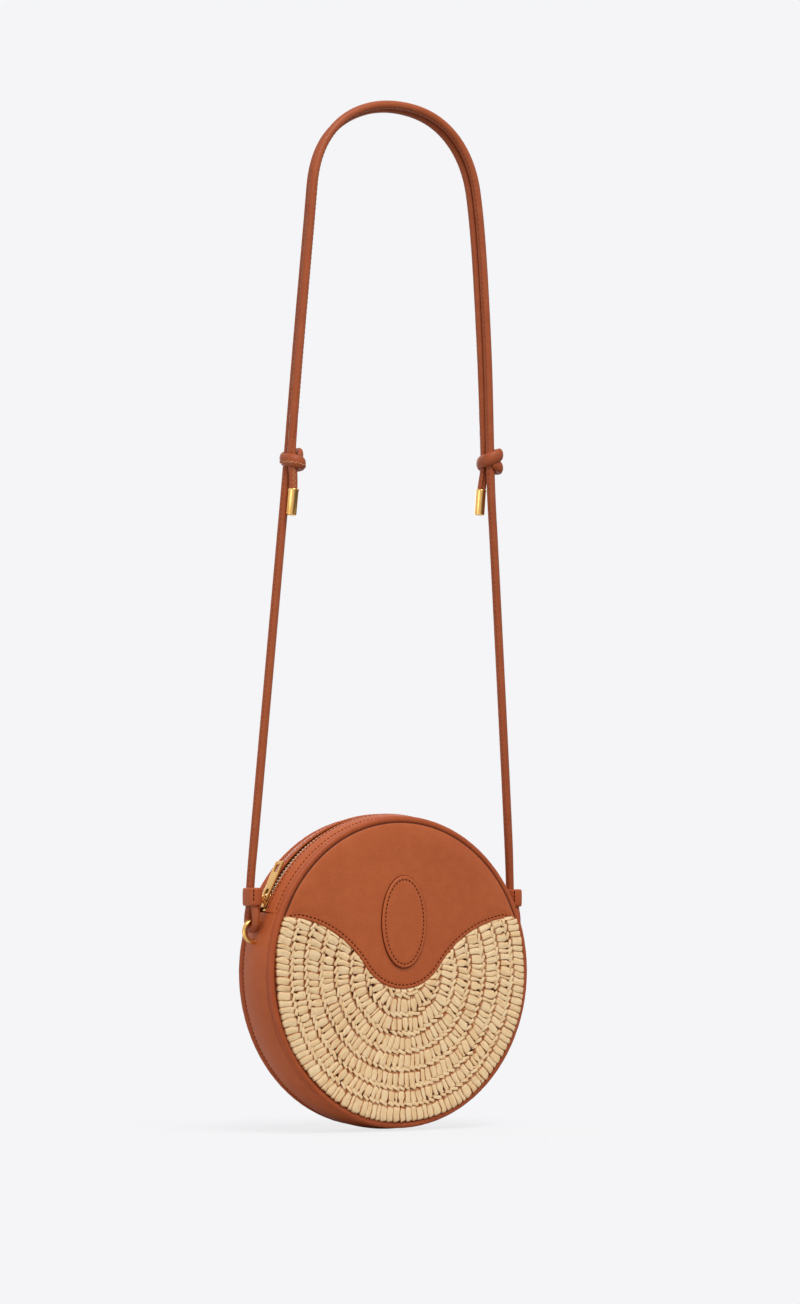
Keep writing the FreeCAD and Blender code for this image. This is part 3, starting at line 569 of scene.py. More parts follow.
def pipings():
    """Leather piping round both rims, faintly gathered round the curve, and the front one's flange, painted
    dark as shade.
    """
    for name, side in (("front", -1), ("back", 1)):
        rows = []
        for step in range(PIPING_STEPS):
            angle = 360 * step / PIPING_STEPS
            half = PIPING_HALF
            for height, pace, shift in GATHERS:
                half += height * math.sin(angle * pace + side * shift)
            centre = round_disc(PIPING_RADIUS, angle, side * PIPING_DEPTH)
            rows.append(oval(centre, radial(angle) * half, FRONT * (-side * half), TUBE_SIDES))
        tube = Form().ring(rows)
        tube.make(f"{name}_piping_leather", PIPING_LEATHER, "bag", "leather", [f"{name}_piping"])
    # Painted shade: a dark flange lines the groove between the front piping and the yoke
    lathe(SHADE_FLANGE, steps=220).make("piping_flange_shade", GROOVE_SHADE_LEATHER, "bag", "dark_leather")


def back_leather():
    """Leather back: flat field, sewn ring and a rolled edge."""
    disc(BACK_SECTION).make("back_leather", LEATHER, "bag", "leather", ["back_panel"])
    sewing = Form()
    circle_stitches(sewing, BACK_SEWN, BACK_STITCH_DEPTH, 0, 360, lambda angle: -FRONT)
    sewing.make("back_stitches", THREAD, "bag", "dark_leather")


# Yoke and badge, whose sections are (inset, height) pairs

PANEL_RADIUS = 99.1
YOKE_BACK = 19.8
LOBE_HALF = 30.0
LOBE_DEPTH = 15.5
LOBE_TOP = 4.0
LOBE_STEPS = 48
SHOULDER_RADIUS = 77.0
SHOULDER_STEPS = 50
YOKE_RIM_HEIGHT = 36.0
YOKE_STITCH = 2.5
YOKE_THREAD_HEIGHT = 1.82
YOKE_BULGE = 0.3
YOKE_LOW_EDGE = [(0.0, 0.0), (0.0, 1.0), (0.1, 1.45), (0.4, 1.8), (0.9, 1.98), (1.7, 1.98),
                 (YOKE_STITCH, 1.74), (3.3, 1.98), (4.8, 2.04)]
YOKE_RIM_EDGE = [(14.0, 2.04), (11.0, 1.95), (8.5, 1.82), (6.5, 1.66), (4.5, 1.43), (3.0, 1.19), (1.8, 0.95),
                 (0.9, 0.72), (0.3, 0.48), (0.0, 0.1), (0.0, 0.0)]
EDGE_SPAN_SHARE = 0.4
FIELD_ROWS = 16
TIP_THIN = 0.26
FULL_SPAN = 30.0
BADGE_MIDDLE = Vector((0, -21.9, 33.0))
BADGE_HIGH = 30.6
BADGE_WIDE = 17.8
BADGE_STITCH = 2.5
BADGE_THREAD_HEIGHT = 1.4
BADGE_SECTION = [(0.0, 0.0), (0.0, 0.85), (0.12, 1.2), (0.45, 1.48), (1.0, 1.6), (1.8, 1.56),
                 (BADGE_STITCH, 1.3), (3.2, 1.5), (4.6, 1.52), (8.0, 1.54), (12.0, 1.55), (16.5, 1.56)]
BADGE_EDGE = [(0.6, 0.0), (-0.3, 0.0), (-0.34, 0.6), (-0.18, 0.95), (0.6, 0.95)]


def plan_arc(start, end, radius, side, count):
    """Points on a short arc in the plan (x, z); side +1 bulges to the left of the way."""
    start, end = Vector(start), Vector(end)
    chord = end - start
    normal = Vector((-chord.y, chord.x)).normalized() * side
    centre = (start + end) / 2 - normal * math.sqrt(radius ** 2 - (chord.length / 2) ** 2)
    first = math.atan2(start.y - centre.y, start.x - centre.x)
    sweep = math.atan2(end.y - centre.y, end.x - centre.x) - first
    sweep = (sweep + math.pi) % math.tau - math.pi
    angles = [first + sweep * step / count for step in range(count + 1)]
    return [centre + Vector((math.cos(angle), math.sin(angle))) * radius for angle in angles]


def yoke_edge():
    """Lower edge of the yoke from the left rim to the right: hollow shoulder, round lobe, hollow shoulder."""
    across = math.sqrt(PANEL_RADIUS ** 2 - YOKE_RIM_HEIGHT ** 2)
    lobe = (LOBE_HALF ** 2 + LOBE_DEPTH ** 2) / (2 * LOBE_DEPTH)
    left = plan_arc((-across, YOKE_RIM_HEIGHT), (-LOBE_HALF, LOBE_TOP), SHOULDER_RADIUS, 1, SHOULDER_STEPS)
    middle = plan_arc((-LOBE_HALF, LOBE_TOP), (LOBE_HALF, LOBE_TOP), lobe, -1, LOBE_STEPS)
    right = plan_arc((LOBE_HALF, LOBE_TOP), (across, YOKE_RIM_HEIGHT), SHOULDER_RADIUS, 1, SHOULDER_STEPS)
    return left + middle[1:] + right[1:]


def yoke(sewing):
    """Leather yoke, thinner towards its two tips and sewn along its lower edge."""
    edge = yoke_edge()
    last = len(edge) - 1
    rim_half = math.atan2(edge[-1].x, edge[-1].y)
    inward = []
    rim = []
    for number in range(len(edge)):
        way = way_at(edge, number)
        inward.append(Vector((-way.y, way.x)))
        turn = rim_half * (2 * number / last - 1)
        rim.append(Vector((math.sin(turn), math.cos(turn))) * PANEL_RADIUS)
    spans = [(top - point).length for point, top in zip(edge, rim)]
    thins = [min(1.0, TIP_THIN + (1 - TIP_THIN) * span / FULL_SPAN) for span in spans]

    def low_row(inset):
        """Plan points inside the lower edge, closer to it where the yoke is narrow."""
        band = YOKE_LOW_EDGE[-1][0]
        return [point + normal * inset * min(1.0, EDGE_SPAN_SHARE * span / band)
                for point, normal, span in zip(edge, inward, spans)]

    def rim_row(inset):
        """Plan points inside the rim, closer to it where the yoke is narrow."""
        band = YOKE_RIM_EDGE[0][0]
        return [top * (1 - inset * min(1.0, EDGE_SPAN_SHARE * span / band) / PANEL_RADIUS)
                for top, span in zip(rim, spans)]

    def laid(plan, height):
        return [Vector((point.x, -(YOKE_BACK + height * thin), point.y)) for point, thin in zip(plan, thins)]

    low = [(low_row(inset), height) for inset, height in YOKE_LOW_EDGE]
    high = [(rim_row(inset), height) for inset, height in YOKE_RIM_EDGE]
    near, thick = low[-1]
    far, _ = high[0]
    field = []
    for step in range(1, FIELD_ROWS):
        share = step / FIELD_ROWS
        plan = [first.lerp(second, share) for first, second in zip(near, far)]
        field.append((plan, thick + YOKE_BULGE * math.sin(math.pi * share)))
    form = Form().sheet([laid(plan, height) for plan, height in low + field + high], loop=True)
    form.make("yoke_leather", LEATHER, "bag", "leather", ["front_yoke"])
    seam = laid(low_row(YOKE_STITCH), YOKE_THREAD_HEIGHT)
    line_stitches(sewing, seam[2:-2], pitch=3.0, width=0.8)


def badge_row(inset, height, count=96):
    """Oval row on the badge, inside its outline by the inset."""
    return oval(BADGE_MIDDLE + FRONT * height, UP * (BADGE_HIGH - inset), RIGHT * (BADGE_WIDE - inset), count)


def badge(sewing):
    """Oval leather badge with a dark edge, sewn on the yoke."""
    oval_leather = Form().solid([badge_row(*step) for step in BADGE_SECTION])
    oval_leather.make("badge_leather", LEATHER, "bag", "leather", ["oval_badge"])
    edge = Form().ring([badge_row(*step) for step in BADGE_EDGE])
    edge.make("badge_edge_leather", DARK_EDGE, "bag", "dark_leather")
    seam = badge_row(BADGE_STITCH, BADGE_THREAD_HEIGHT, count=200)
    line_stitches(sewing, seam + seam[:1], pitch=2.7, width=0.74)


# Crochet

ROUND_EDGES = [5.5, 18.3, 31.0, 43.4, 55.2, 66.9, 78.8, 90.0, 99.9]
ROUND_SHIFT = 0.37
CROCHET_SEED = 41
RIDGE_SWING = (0.25, 0.6)
RIDGE_WAVES = (5, 9)
STITCH_PITCH = 4.6
CROCHET_BACK = 19.9
HIDDEN_COVER = 11.0
CORE_RISE = 0.7
CORE_HALF_HIGH = 0.75
CORE_HALF_WIDE = 1.125
CORE_SIDES = 6
STRAND_SHARES = [0.0, 0.025, 0.07, 0.16, 0.28, 0.41, 0.54, 0.67, 0.79, 0.88, 0.945, 0.98, 1.0]
STRAND_SIDES = 12
STRAND_SQUARE = 0.6
# Girth and thickness left at the very ends of a strand, and how blunt these are
END_GIRTH = 0.5
END_THICK = 0.45
END_BLUNT = 10
# How far apart the streaks of one strand and the next are read: across, through and along
STREAK_STEPS = (17.3, 5.1, 41.7)
CORE_STREAK_STEPS = (17.3, 5.1, 0.0)
CORE_STREAK_PACE = 0.9
# Painted shade along a strand's creases and ends, as (least crease, most crease, lead at its root, lead at
# its tip)
POST_CREASE_SHADE = (0.87, 1.0, 0.9, 0.4)
CHAIN_CREASE_SHADE = (0.88, 1.0, 0.4, 0.4)
CREASE_SPREAD = 0.618
ROOT_SPREAD = 0.377
ROOT_LEAST = 0.3
# Painted shade at a strand's ends and over the whole core, and how fast it fades along a strand
END_SHADE = 0.9
END_FADE = 0.4
# Sides of the posts: how far they shift, lean, bow and waver, in stitches
SIDE_SHIFT = 0.22
SIDE_LEAN = 0.18
SIDE_BOW = (-0.1, 0.3)
SIDE_WAVER = 0.06
SIDE_WAVER_PACE = 9
LEAN_MIDDLE = 0.1
LEAN_SWING = 0.4
LEAN_WAVES = (2, 5)
POST_SHARE = 0.76
POST_SPREAD = (0.95, 1.06)
POST_PUFF = (-0.16, 0.18)
POST_ROLL = (-2, 7)
POST_RISE = 1.25
POST_THICK = (1.7, 2.0)
POST_NIPS = (0.04, 0.08, 0.12, 0.16, 0.24, 0.42)
NIP_PLACE = 0.82
NIP_WIDE = 0.17
DIVE_START = 0.8
DIVE_DEEP = 0.5
POST_OVERLAP = 1.06
RIM_POST_SHARE = 0.98
RIM_NIP = 0.3
CHAIN_PLACE = 0.8
CHAIN_SPAN = (0.71, 0.965)
CHAIN_JITTER = (-0.025, 0.02)
CHAIN_RISE = 0.85
CHAIN_ARCH = 0.75
CHAIN_END = 0.05
CHAIN_PUFF = 0.6
CHAIN_SLANT = (0.9, 1.6)
CHAIN_HALF = (1.15, 1.4)
CHAIN_THICK = (1.0, 1.2)
# Near and under the yoke the strands are pressed down, and towards the rim they fall away
PRESSED_REACH = 1.6
PRESSED_HEIGHT = 0.55
PRESSED_SLOPE = 1.2
FALL_RADIUS = 95.5
FALL_RATE = 0.05
FALL_POWER = 1.6
BACKING = [(-19.82, 99.4), (-20.05, 99.4), (-20.25, 98.6)]


def squared(value):
    """Cosine or sine drawn out towards a rounded square."""
    return math.copysign(abs(value) ** STRAND_SQUARE, value)


class Seam:
    """Line between two neighbouring posts of a round: where it starts, how it leans, bows and wavers."""

    def __init__(self, place, drift, dice):
        self.place = place + dice.uniform(-SIDE_SHIFT, SIDE_SHIFT)
        self.lean = drift + dice.uniform(-SIDE_LEAN, SIDE_LEAN)
        self.bow = dice.uniform(*SIDE_BOW)
        self.waver = dice.uniform(0.0, SIDE_WAVER)
        self.phase = dice.uniform(0, math.tau)

    def at(self, along):
        """Place round the disc in stitches, at a share of the round's height."""
        return (self.place + self.lean * (along - 0.5) + self.bow * math.sin(math.pi * along)
                + self.waver * math.sin(SIDE_WAVER_PACE * along + self.phase))

    def after_lap(self, count):
        """The same line, one whole round of stitches further on."""
        seam = copy.copy(self)
        seam.place += count
        return seam


class Crochet:
    """Rounds of crochet: plump posts side by side, and along their tops the slanted loops of a chain."""

    def __init__(self):
        self.form = Form()
        self.mark = 0
        self.dice = random.Random(CROCHET_SEED)
        self.waves = []
        for _ in ROUND_EDGES:
            swing = self.dice.uniform(*RIDGE_SWING)
            self.waves.append((swing, self.dice.randint(*RIDGE_WAVES), self.dice.uniform(0, math.tau)))
        edge = yoke_edge()
        self.edge_x = [point.x for point in edge]
        self.edge_z = [point.y for point in edge]

    def cover(self, point):
        """How far a point lies above the yoke's lower edge."""
        return point.z - float(np.interp(point.x, self.edge_x, self.edge_z))

    def on_round(self, number, along, angle, height):
        """Point in a round, whose two ridges wander a little."""
        ridges = []
        for place in (number, number + 1):
            swing, waves, phase = self.waves[place]
            ridges.append(ROUND_EDGES[place] + swing * math.sin(waves * math.radians(angle) + phase))
        return round_disc(ridges[0] + (ridges[1] - ridges[0]) * along, angle, -(CROCHET_BACK + height))

    def paint(self, tone, edge, spot, steps=STREAK_STEPS):
        """What the finish reads at the next point; the streaks of each strand are its own."""
        streak = [part + self.mark * step for part, step in zip(spot, steps)]
        self.form.paint(streak, tone, edge)

    def strand(self, centres, halves, thick, roll, outline):
        """Plump strand along centres with its half widths, rolled about its length, its ends rounded."""
        tone = self.dice.random()
        crease_low, crease_high, root_lead, tip_lead = outline
        crease = crease_low + (crease_high - crease_low) * (self.mark * CREASE_SPREAD % 1)
        root_lead *= ROOT_LEAST + self.mark * ROOT_SPREAD % 1
        length = length_of(centres)
        rows = []
        walked = 0.0
        for number, (centre, half, share) in enumerate(zip(centres, halves, STRAND_SHARES)):
            way = way_at(centres, number)
            across = way.cross(FRONT).normalized()
            front = across.cross(way)
            if front.dot(FRONT) < 0:
                front = -front
            across, front = (across * math.cos(roll) + front * math.sin(roll),
                             front * math.cos(roll) - across * math.sin(roll))
            if number:
                walked += (centre - centres[number - 1]).length
            past_ends = min(walked - root_lead, length - walked - tip_lead)
            girth = END_GIRTH + (1 - END_GIRTH) * math.sqrt(1 - abs(2 * share - 1) ** END_BLUNT)
            row = []
            for turn in turns(STRAND_SIDES):
                wide, high = squared(math.cos(turn)), squared(math.sin(turn))
                side = wide * half * girth
                rise = high * thick / 2 * (END_THICK + (1 - END_THICK) * girth)
                row.append(centre + across * side + front * rise)
                # The edge value is painted shade: brown at the strand's sides and near its ends
                edge = max(abs(wide) * crease, END_SHADE - past_ends * END_FADE)
                self.paint(tone, edge, (side, rise, walked))
            rows.append(row)
        self.form.solid(rows)
        self.mark += 1

    def core(self, number):
        """Thin strand that runs the whole way round under a ridge and closes the gaps of its chain; painted
        brown all over as the shade in them.
        """
        rows = []
        for angle in range(360):
            centre = self.on_round(number, 1.0, angle, CORE_RISE)
            rows.append(oval(centre, radial(angle) * CORE_HALF_WIDE, FRONT * CORE_HALF_HIGH, CORE_SIDES))
            for turn in turns(CORE_SIDES):
                spot = (math.cos(turn), math.sin(turn), angle * CORE_STREAK_PACE)
                self.paint(0.0, END_SHADE, spot, CORE_STREAK_STEPS)
        self.form.ring(rows)
        self.mark += 1

    def post(self, number, pitch, seams, tall, puff, nip, roll):
        """Upright strand between two seams, nipped in below its top."""
        centres, halves = [], []
        for share in STRAND_SHARES:
            along = tall * share
            left, right = (seam.at(along) for seam in seams)
            dive = max(0.0, abs(2 * share - 1) - DIVE_START) / (1 - DIVE_START)
            rise = POST_RISE - DIVE_DEEP * dive ** 2 + puff * math.sin(math.pi * share)
            centre = self.on_round(number, along, pitch * (left + right) / 2, rise)
            centres.append(centre)
            half = math.radians(pitch * (right - left) / 2) * math.hypot(centre.x, centre.z)
            nipped = 1 - nip * math.exp(-((share - NIP_PLACE) / NIP_WIDE) ** 2)
            halves.append(half * POST_OVERLAP * nipped)
        self.strand(centres, halves, self.dice.uniform(*POST_THICK), roll, POST_CREASE_SHADE)

    def chain(self, number, pitch, angle, puff):
        """Slanted loop of the chain over the top of a post."""
        low, high = (level + self.dice.uniform(*CHAIN_JITTER) for level in CHAIN_SPAN)
        slant = self.dice.uniform(*CHAIN_SLANT)
        half = self.dice.uniform(*CHAIN_HALF)
        centres = []
        for share in STRAND_SHARES:
            bow = math.sin(math.pi * (CHAIN_END + (1 - 2 * CHAIN_END) * share))
            shift = pitch * slant * (0.5 - share)
            rise = CHAIN_RISE + CHAIN_ARCH * math.sqrt(bow) + CHAIN_PUFF * puff
            centres.append(self.on_round(number, low + (high - low) * share, angle + shift, rise))
        self.strand(centres, [half] * len(centres), self.dice.uniform(*CHAIN_THICK), 0.0, CHAIN_CREASE_SHADE)

    def work_round(self, number):
        """One round of posts, with a core and a chain along its top unless it is the outermost."""
        dice = self.dice
        middle = (ROUND_EDGES[number] + ROUND_EDGES[number + 1]) / 2
        count = round(math.tau * middle / STITCH_PITCH)
        pitch = 360 / count
        lean_waves, lean_phase = dice.randint(*LEAN_WAVES), dice.uniform(0, math.tau)
        chained = number < len(ROUND_EDGES) - 2
        if chained:
            self.core(number)
        seams = []
        for place in range(count):
            swing = math.sin(lean_waves * math.tau * place / count + lean_phase)
            seams.append(Seam(place + ROUND_SHIFT * number, LEAN_MIDDLE + LEAN_SWING * swing, dice))
        seams.append(seams[0].after_lap(count))
        for pair in zip(seams, seams[1:]):
            angle = pitch * sum(seam.at(CHAIN_PLACE) for seam in pair) / 2
            puff = dice.uniform(*POST_PUFF)
            nip = dice.choice(POST_NIPS) * (1.0 if chained else RIM_NIP)
            tall = POST_SHARE * dice.uniform(*POST_SPREAD) if chained else RIM_POST_SHARE
            roll = math.radians(dice.uniform(*POST_ROLL))
            if self.cover(round_disc(middle, angle)) > HIDDEN_COVER:
                continue
            self.post(number, pitch, pair, tall, puff, nip, roll)
            if chained:
                self.chain(number, pitch, angle, puff)

    def press(self):
        """Hold the strands down at the yoke and let them fall away at the rim."""
        for point in self.form.points:
            cover = self.cover(point)
            if cover > -PRESSED_REACH:
                limit = CROCHET_BACK + PRESSED_HEIGHT + max(0.0, -cover) * PRESSED_SLOPE
                point.y = max(point.y, -limit)
            past = math.hypot(point.x, point.z) - FALL_RADIUS
            if past > 0:
                point.y += FALL_RATE * past ** FALL_POWER


def crochet():
    """Crocheted front and the cloth behind it, painted dark as shade."""
    work = Crochet()
    for number in range(len(ROUND_EDGES) - 1):
        work.work_round(number)
    work.press()
    work.form.make("crochet_raffia", RAFFIA, "bag", "raffia", ["crochet_panel"])
    # The backing's dark brown is painted shade in the crochet's gaps
    disc(BACKING).make("crochet_backing", SHADOW_CLOTH, "bag", "board")


# Zip, whose plans are (along, across) pairs

TAPE_FACE = 102.893
TAPE_SECTION = [(1.2, 0.0), (1.2, 0.3), (1.6, 0.55), (2.1, 0.3), (3.2, 0.3), (3.4, 0.0), (8.0, 0.0),
                (8.0, -0.3), (1.2, -0.3)]
TOOTH_BASE = TAPE_FACE + 0.325
TOOTH_TOP = TOOTH_BASE + 0.75
TOOTH_ROOT = TOOTH_BASE - 0.5
TOOTH_PITCH = 2.6
TOOTH_HEAD = [(-0.5, 1.45), (0.5, 1.45), (0.52, 0.9), (0.4, 0.5), (0.52, 0.0), (0.4, -0.65), (-0.4, -0.65),
              (-0.52, 0.0), (-0.4, 0.5), (-0.52, 0.9)]
TOOTH_LEGS = [(-0.5, 3.0), (0.5, 3.0), (0.5, 1.2), (-0.5, 1.2)]
LEG_TOP = TOOTH_BASE + 0.6
STOP_INSET = 2.4
STOP_FOOT = TOOTH_BASE - 0.3
STOP_HALF = [(-1.2, 2.6), (-0.8, 3.0), (0.8, 3.0), (1.2, 2.6)]
SLIDER_ANGLE = -63.5
SLIDER_TOP = TAPE_FACE + 3.0
SLIDER_UNDER = SLIDER_TOP - 1.0
SLIDER_HALF = [(-5.0, 2.3), (-4.4, 2.9), (-1.0, 3.1), (2.5, 3.6), (4.2, 3.4), (5.0, 2.4)]
LIP = [(-4.2, 2.5), (-1.0, 2.75), (2.5, 3.2), (4.0, 3.1), (4.0, 3.45), (2.5, 3.6), (-1.0, 3.1), (-4.2, 2.85)]
LIP_FOOT = 103.5
LIP_TOP = SLIDER_TOP - 0.6
BRIDGE_FOOT = SLIDER_TOP - 0.3
# Share of the bridge's thickness from the inside out, and place across it
BRIDGE_SECTION = [(0.0, -0.75), (0.12, -1.05), (0.85, -1.05), (1.0, -0.75), (1.0, 0.75), (0.85, 1.05),
                  (0.12, 1.05), (0.0, 0.75)]
# Half length and height of the bridge's outer and inner line, and how square these are
BRIDGE_OUTER = (2.9, 4.0)
BRIDGE_INNER = (1.6, 2.7)
BRIDGE_SQUARE = 0.6
BRIDGE_STEPS = 14
HINGE_RADIUS = SLIDER_TOP + 1.2
PULL_XS = [-0.9, 0.9, 7.5, 19.8, 25.4, 28.0]
PULL_YS = [-4.5, -2.3, -1.9, 1.9, 2.3, 4.5]
PULL_HALF_THICK = 0.7
PULL_WAIST = 0.16
PULL_BEVEL = 0.3
PULL_SHARP = 0.6


def at_zip(angle):
    """Placing for a plate on the zip: x along it towards the right, y to the back, z away from the centre."""
    return lambda x, y, z: clockwise(angle) * x + FRONT * -y + radial(angle) * z


def along_zip(length):
    """Angle of a length along the zip."""
    return math.degrees(length / TOOTH_BASE)


def both_sides(half):
    """Plan that is the same on both sides of the zip's line."""
    return [(x, -y) for x, y in half] + half[::-1]


def tape(name, side):
    """Zip tape with its thick edge beside the teeth."""
    section = [(side * depth, TAPE_FACE + lift) for depth, lift in TAPE_SECTION]
    cloth = lathe(section, -ZIP_HALF_ANGLE, ZIP_HALF_ANGLE, ZIP_STEPS)
    cloth.make(f"tape_{name}_cloth", TAPE, "bag", "tape", [f"zip_tape_{name}"])


def teeth(name, side):
    """One row of teeth, which mesh with those of the other row."""
    form = Form()
    pitch = along_zip(TOOTH_PITCH)
    phase = side * pitch / 4
    count = int((ZIP_HALF_ANGLE - along_zip(2 * STOP_INSET) - abs(phase)) / pitch)
    for step in range(-count, count + 1):
        place = at_zip(step * pitch + phase)
        slab(form, [(x, side * y) for x, y in TOOTH_HEAD], TOOTH_ROOT, TOOTH_TOP, edge=0.42, place=place)
        slab(form, [(x, side * y) for x, y in TOOTH_LEGS], TOOTH_ROOT, LEG_TOP, edge=0.2, place=place)
    # The teeth's pale brass is a painted highlight
    form.make(f"teeth_{name}_brass", TOOTH_HIGHLIGHT_BRASS, "bag", "brass", [f"zip_teeth_{name}"])


def zip_stops():
    """A stop across each end of the zip."""
    form = Form()
    for side in (-1, 1):
        place = at_zip(side * (ZIP_HALF_ANGLE - along_zip(STOP_INSET)))
        slab(form, both_sides(STOP_HALF), STOP_FOOT, TOOTH_TOP, edge=0.35, place=place)
    form.make("zip_stops_brass", BRASS, "bag", "brass", ["zip_stop_left", "zip_stop_right"], sharp=50)


def slider():
    """Slider: rounded top plate with side lips and an arched bridge."""
    place = at_zip(SLIDER_ANGLE)
    form = Form()
    slab(form, both_sides(SLIDER_HALF), SLIDER_UNDER, SLIDER_TOP, edge=0.3, place=place)
    for side in (-1, 1):
        slab(form, [(x, side * y) for x, y in LIP], LIP_FOOT, LIP_TOP, edge=0.12, place=place)
    rows = []
    for step in range(BRIDGE_STEPS + 1):
        turn = math.pi * step / BRIDGE_STEPS
        back, rise = -math.cos(turn), math.sin(turn) ** BRIDGE_SQUARE
        outer, inner = (Vector((half * back, BRIDGE_FOOT + height * rise))
                        for half, height in (BRIDGE_OUTER, BRIDGE_INNER))
        row = []
        for share, depth in BRIDGE_SECTION:
            spot = inner.lerp(outer, share)
            row.append(place(spot.x, depth, spot.y))
        rows.append(row)
    form.solid(rows)
    form.make("slider_brass", BRASS, "slider", "brass", ["zip_slider"], sharp=45)


def pull():
    """Flat pull: slot at the bridge, plain waist and a window at the tip, all edges broken."""
    place = at_zip(SLIDER_ANGLE)
    columns, lines = len(PULL_XS) - 1, len(PULL_YS) - 1
    work = bmesh.new()
    corners = {}

    def corner(column, line, level):
        key = (column, line, level)
        if key not in corners:
            narrow = PULL_WAIST * max(0.0, 1 - PULL_XS[column] / PULL_XS[3]) if line in (0, lines) else 0.0
            corners[key] = work.verts.new((PULL_XS[column], PULL_YS[line] * (1 - narrow), level))
        return corners[key]

    def metal(column, line):
        inside = 0 <= column < columns and 0 <= line < lines
        slot = column == 1 and line == 2
        window = column == 3 and 1 <= line <= 3
        return inside and not slot and not window

    low, high = -PULL_HALF_THICK, PULL_HALF_THICK
    cells = [(column, line) for column in range(columns) for line in range(lines) if metal(column, line)]
    for column, line in cells:
        plan = [(column, line), (column + 1, line), (column + 1, line + 1), (column, line + 1)]
        work.faces.new([corner(*spot, high) for spot in plan])
        work.faces.new([corner(*spot, low) for spot in reversed(plan)])
        beside = [(column, line - 1), (column + 1, line), (column, line + 1), (column - 1, line)]
        for first, second, cell in zip(plan, plan[1:] + plan[:1], beside):
            if not metal(*cell):
                wall = [(first, low), (second, low), (second, high), (first, high)]
                work.faces.new([corner(*spot, level) for spot, level in wall])
    work.normal_update()
    rims = [rim for rim in work.edges if rim.calc_face_angle(0) > PULL_SHARP]
    bmesh.ops.bevel(work, geom=rims, offset=PULL_BEVEL, segments=3, profile=0.5, affect="EDGES")
    form = Form()
    work.verts.index_update()
    form.points = [place(vert.co.x, vert.co.y, HINGE_RADIUS + vert.co.z) for vert in work.verts]
    form.faces = [tuple(vert.index for vert in face.verts) for face in work.faces]
    work.free()
    form.make("pull_brass", SATIN_BRASS, "pull", "brass", ["zip_pull"], sharp=40)


# Staples

STAPLE_TOP = 33.5
STAPLE_PITCH = 13.5
STAPLE_REACH = 112.5
STAPLE_LEGS = (96.5, 99.0, 102.5)
STAPLE_STEPS = 20
WIRE_HALF = 1.68


def staples():
    """Brass wire staples that stand out of the gusset on both sides."""
    bend = STAPLE_PITCH / 2
    middle = Vector((STAPLE_REACH - WIRE_HALF - bend, 0, STAPLE_TOP - bend))
    line = [Vector((reach, 0, STAPLE_TOP)) for reach in STAPLE_LEGS]
    for step in range(STAPLE_STEPS + 1):
        line.append(middle + round_disc(bend, 180 * step / STAPLE_STEPS))
    line += [Vector((reach, 0, STAPLE_TOP - STAPLE_PITCH)) for reach in STAPLE_LEGS[:0:-1]]
    for name, side in (("left", -1), ("right", 1)):
        rows = []
        for number, centre in enumerate(line):
            out = FRONT.cross(way_at(line, number))
            row = oval(centre, FRONT * -WIRE_HALF, out * WIRE_HALF, TUBE_SIDES)
            rows.append([Vector((side * point.x, point.y, point.z)) for point in row])
        form = Form().solid(rows)
        form.make(f"staple_{name}_brass", SATIN_BRASS, "bag", "brass", [f"staple_{name}"])


# Strap

CORD_HALF = 2.95
LOOP_HALF = 2.8
LOOP_END = (72.0, 92.0)
CORD_SPACING = 1.7
LEFT_LOOP = [(-105, -2.85, 55), (-105, -2.85, 42.5), (-105, -5, 37.5), (-105, -5, 28.5), (-105, 5, 28.5),
             (-105, 5, 37.5), (-105, 2.85, 42.5), (-105, 2.85, 57)]
RIGHT_LOOP = [(-x, y, z) for x, y, z in LEFT_LOOP]
LEFT_ROUTE = LEFT_LOOP + [
    (-101.5, 2.85, 91), (-83.0, 2.85, 274), (-78.3, 2.85, 320), (-74.2, 2.85, 366), (-69.2, 2.85, 420),
    (-60.7, 2.85, 505), (-56.7, 2.85, 548), (-35.4, 2.85, 575.8), (0, 2.85, 589.7), (41.4, 2.85, 584.3),
    (68.2, 2.85, 557.4), (75.7, 2.85, 515), (81.4, 2.85, 428), (83.6, 2.85, 372), (84.6, 2.95, 345),
    (82.2, 4.0, 331.5), (80.8, 4.1, 314.5)]
RIGHT_ROUTE = RIGHT_LOOP + [
    (102.5, 0.9, 91), (88.7, -2.6, 284), (85.4, -2.85, 330), (84.5, -2.85, 372), (83.0, -2.85, 428),
    (77.3, -2.85, 515), (69.8, -2.85, 558.6), (42.6, -2.85, 585.9), (0, -2.85, 591.3), (-36.6, -2.85, 577.4),
    (-58.3, -2.85, 548.2), (-62.3, -2.85, 505), (-70.8, -2.85, 420), (-75.7, -2.85, 366), (-77.4, -2.95, 342),
    (-75.8, -4.3, 324.5), (-78.0, -4.4, 304.1)]

# Places round the cord in degrees from its sewn seam, closest together at the seam
SEAM_PLACES = [0, 8, 16, 28, 48, 75, 105, 140, 180, 220, 255, 285, 312, 332, 344, 352]
SEAM_START = -82
SEAM_DEEP = 0.42
SEAM_WIDE = 9
# The seam turns over a stretch that ends this far before the free end
TWIST_END = 38
TWIST_LENGTH = 40
# Stitches along the seam and the crossed ones of the free end: place round the cord and depth in it
DASH_PLACE = 24
DASH_SUNK = 0.15
DASH_FIRST = 4
DASH_STEP = 2
CROSS_PLACE = 4
CROSS_SUNK = 0.06
CROSS_SLANT = 0.9
FERRULE_COVER = 17
CROSSED_LENGTH = 22

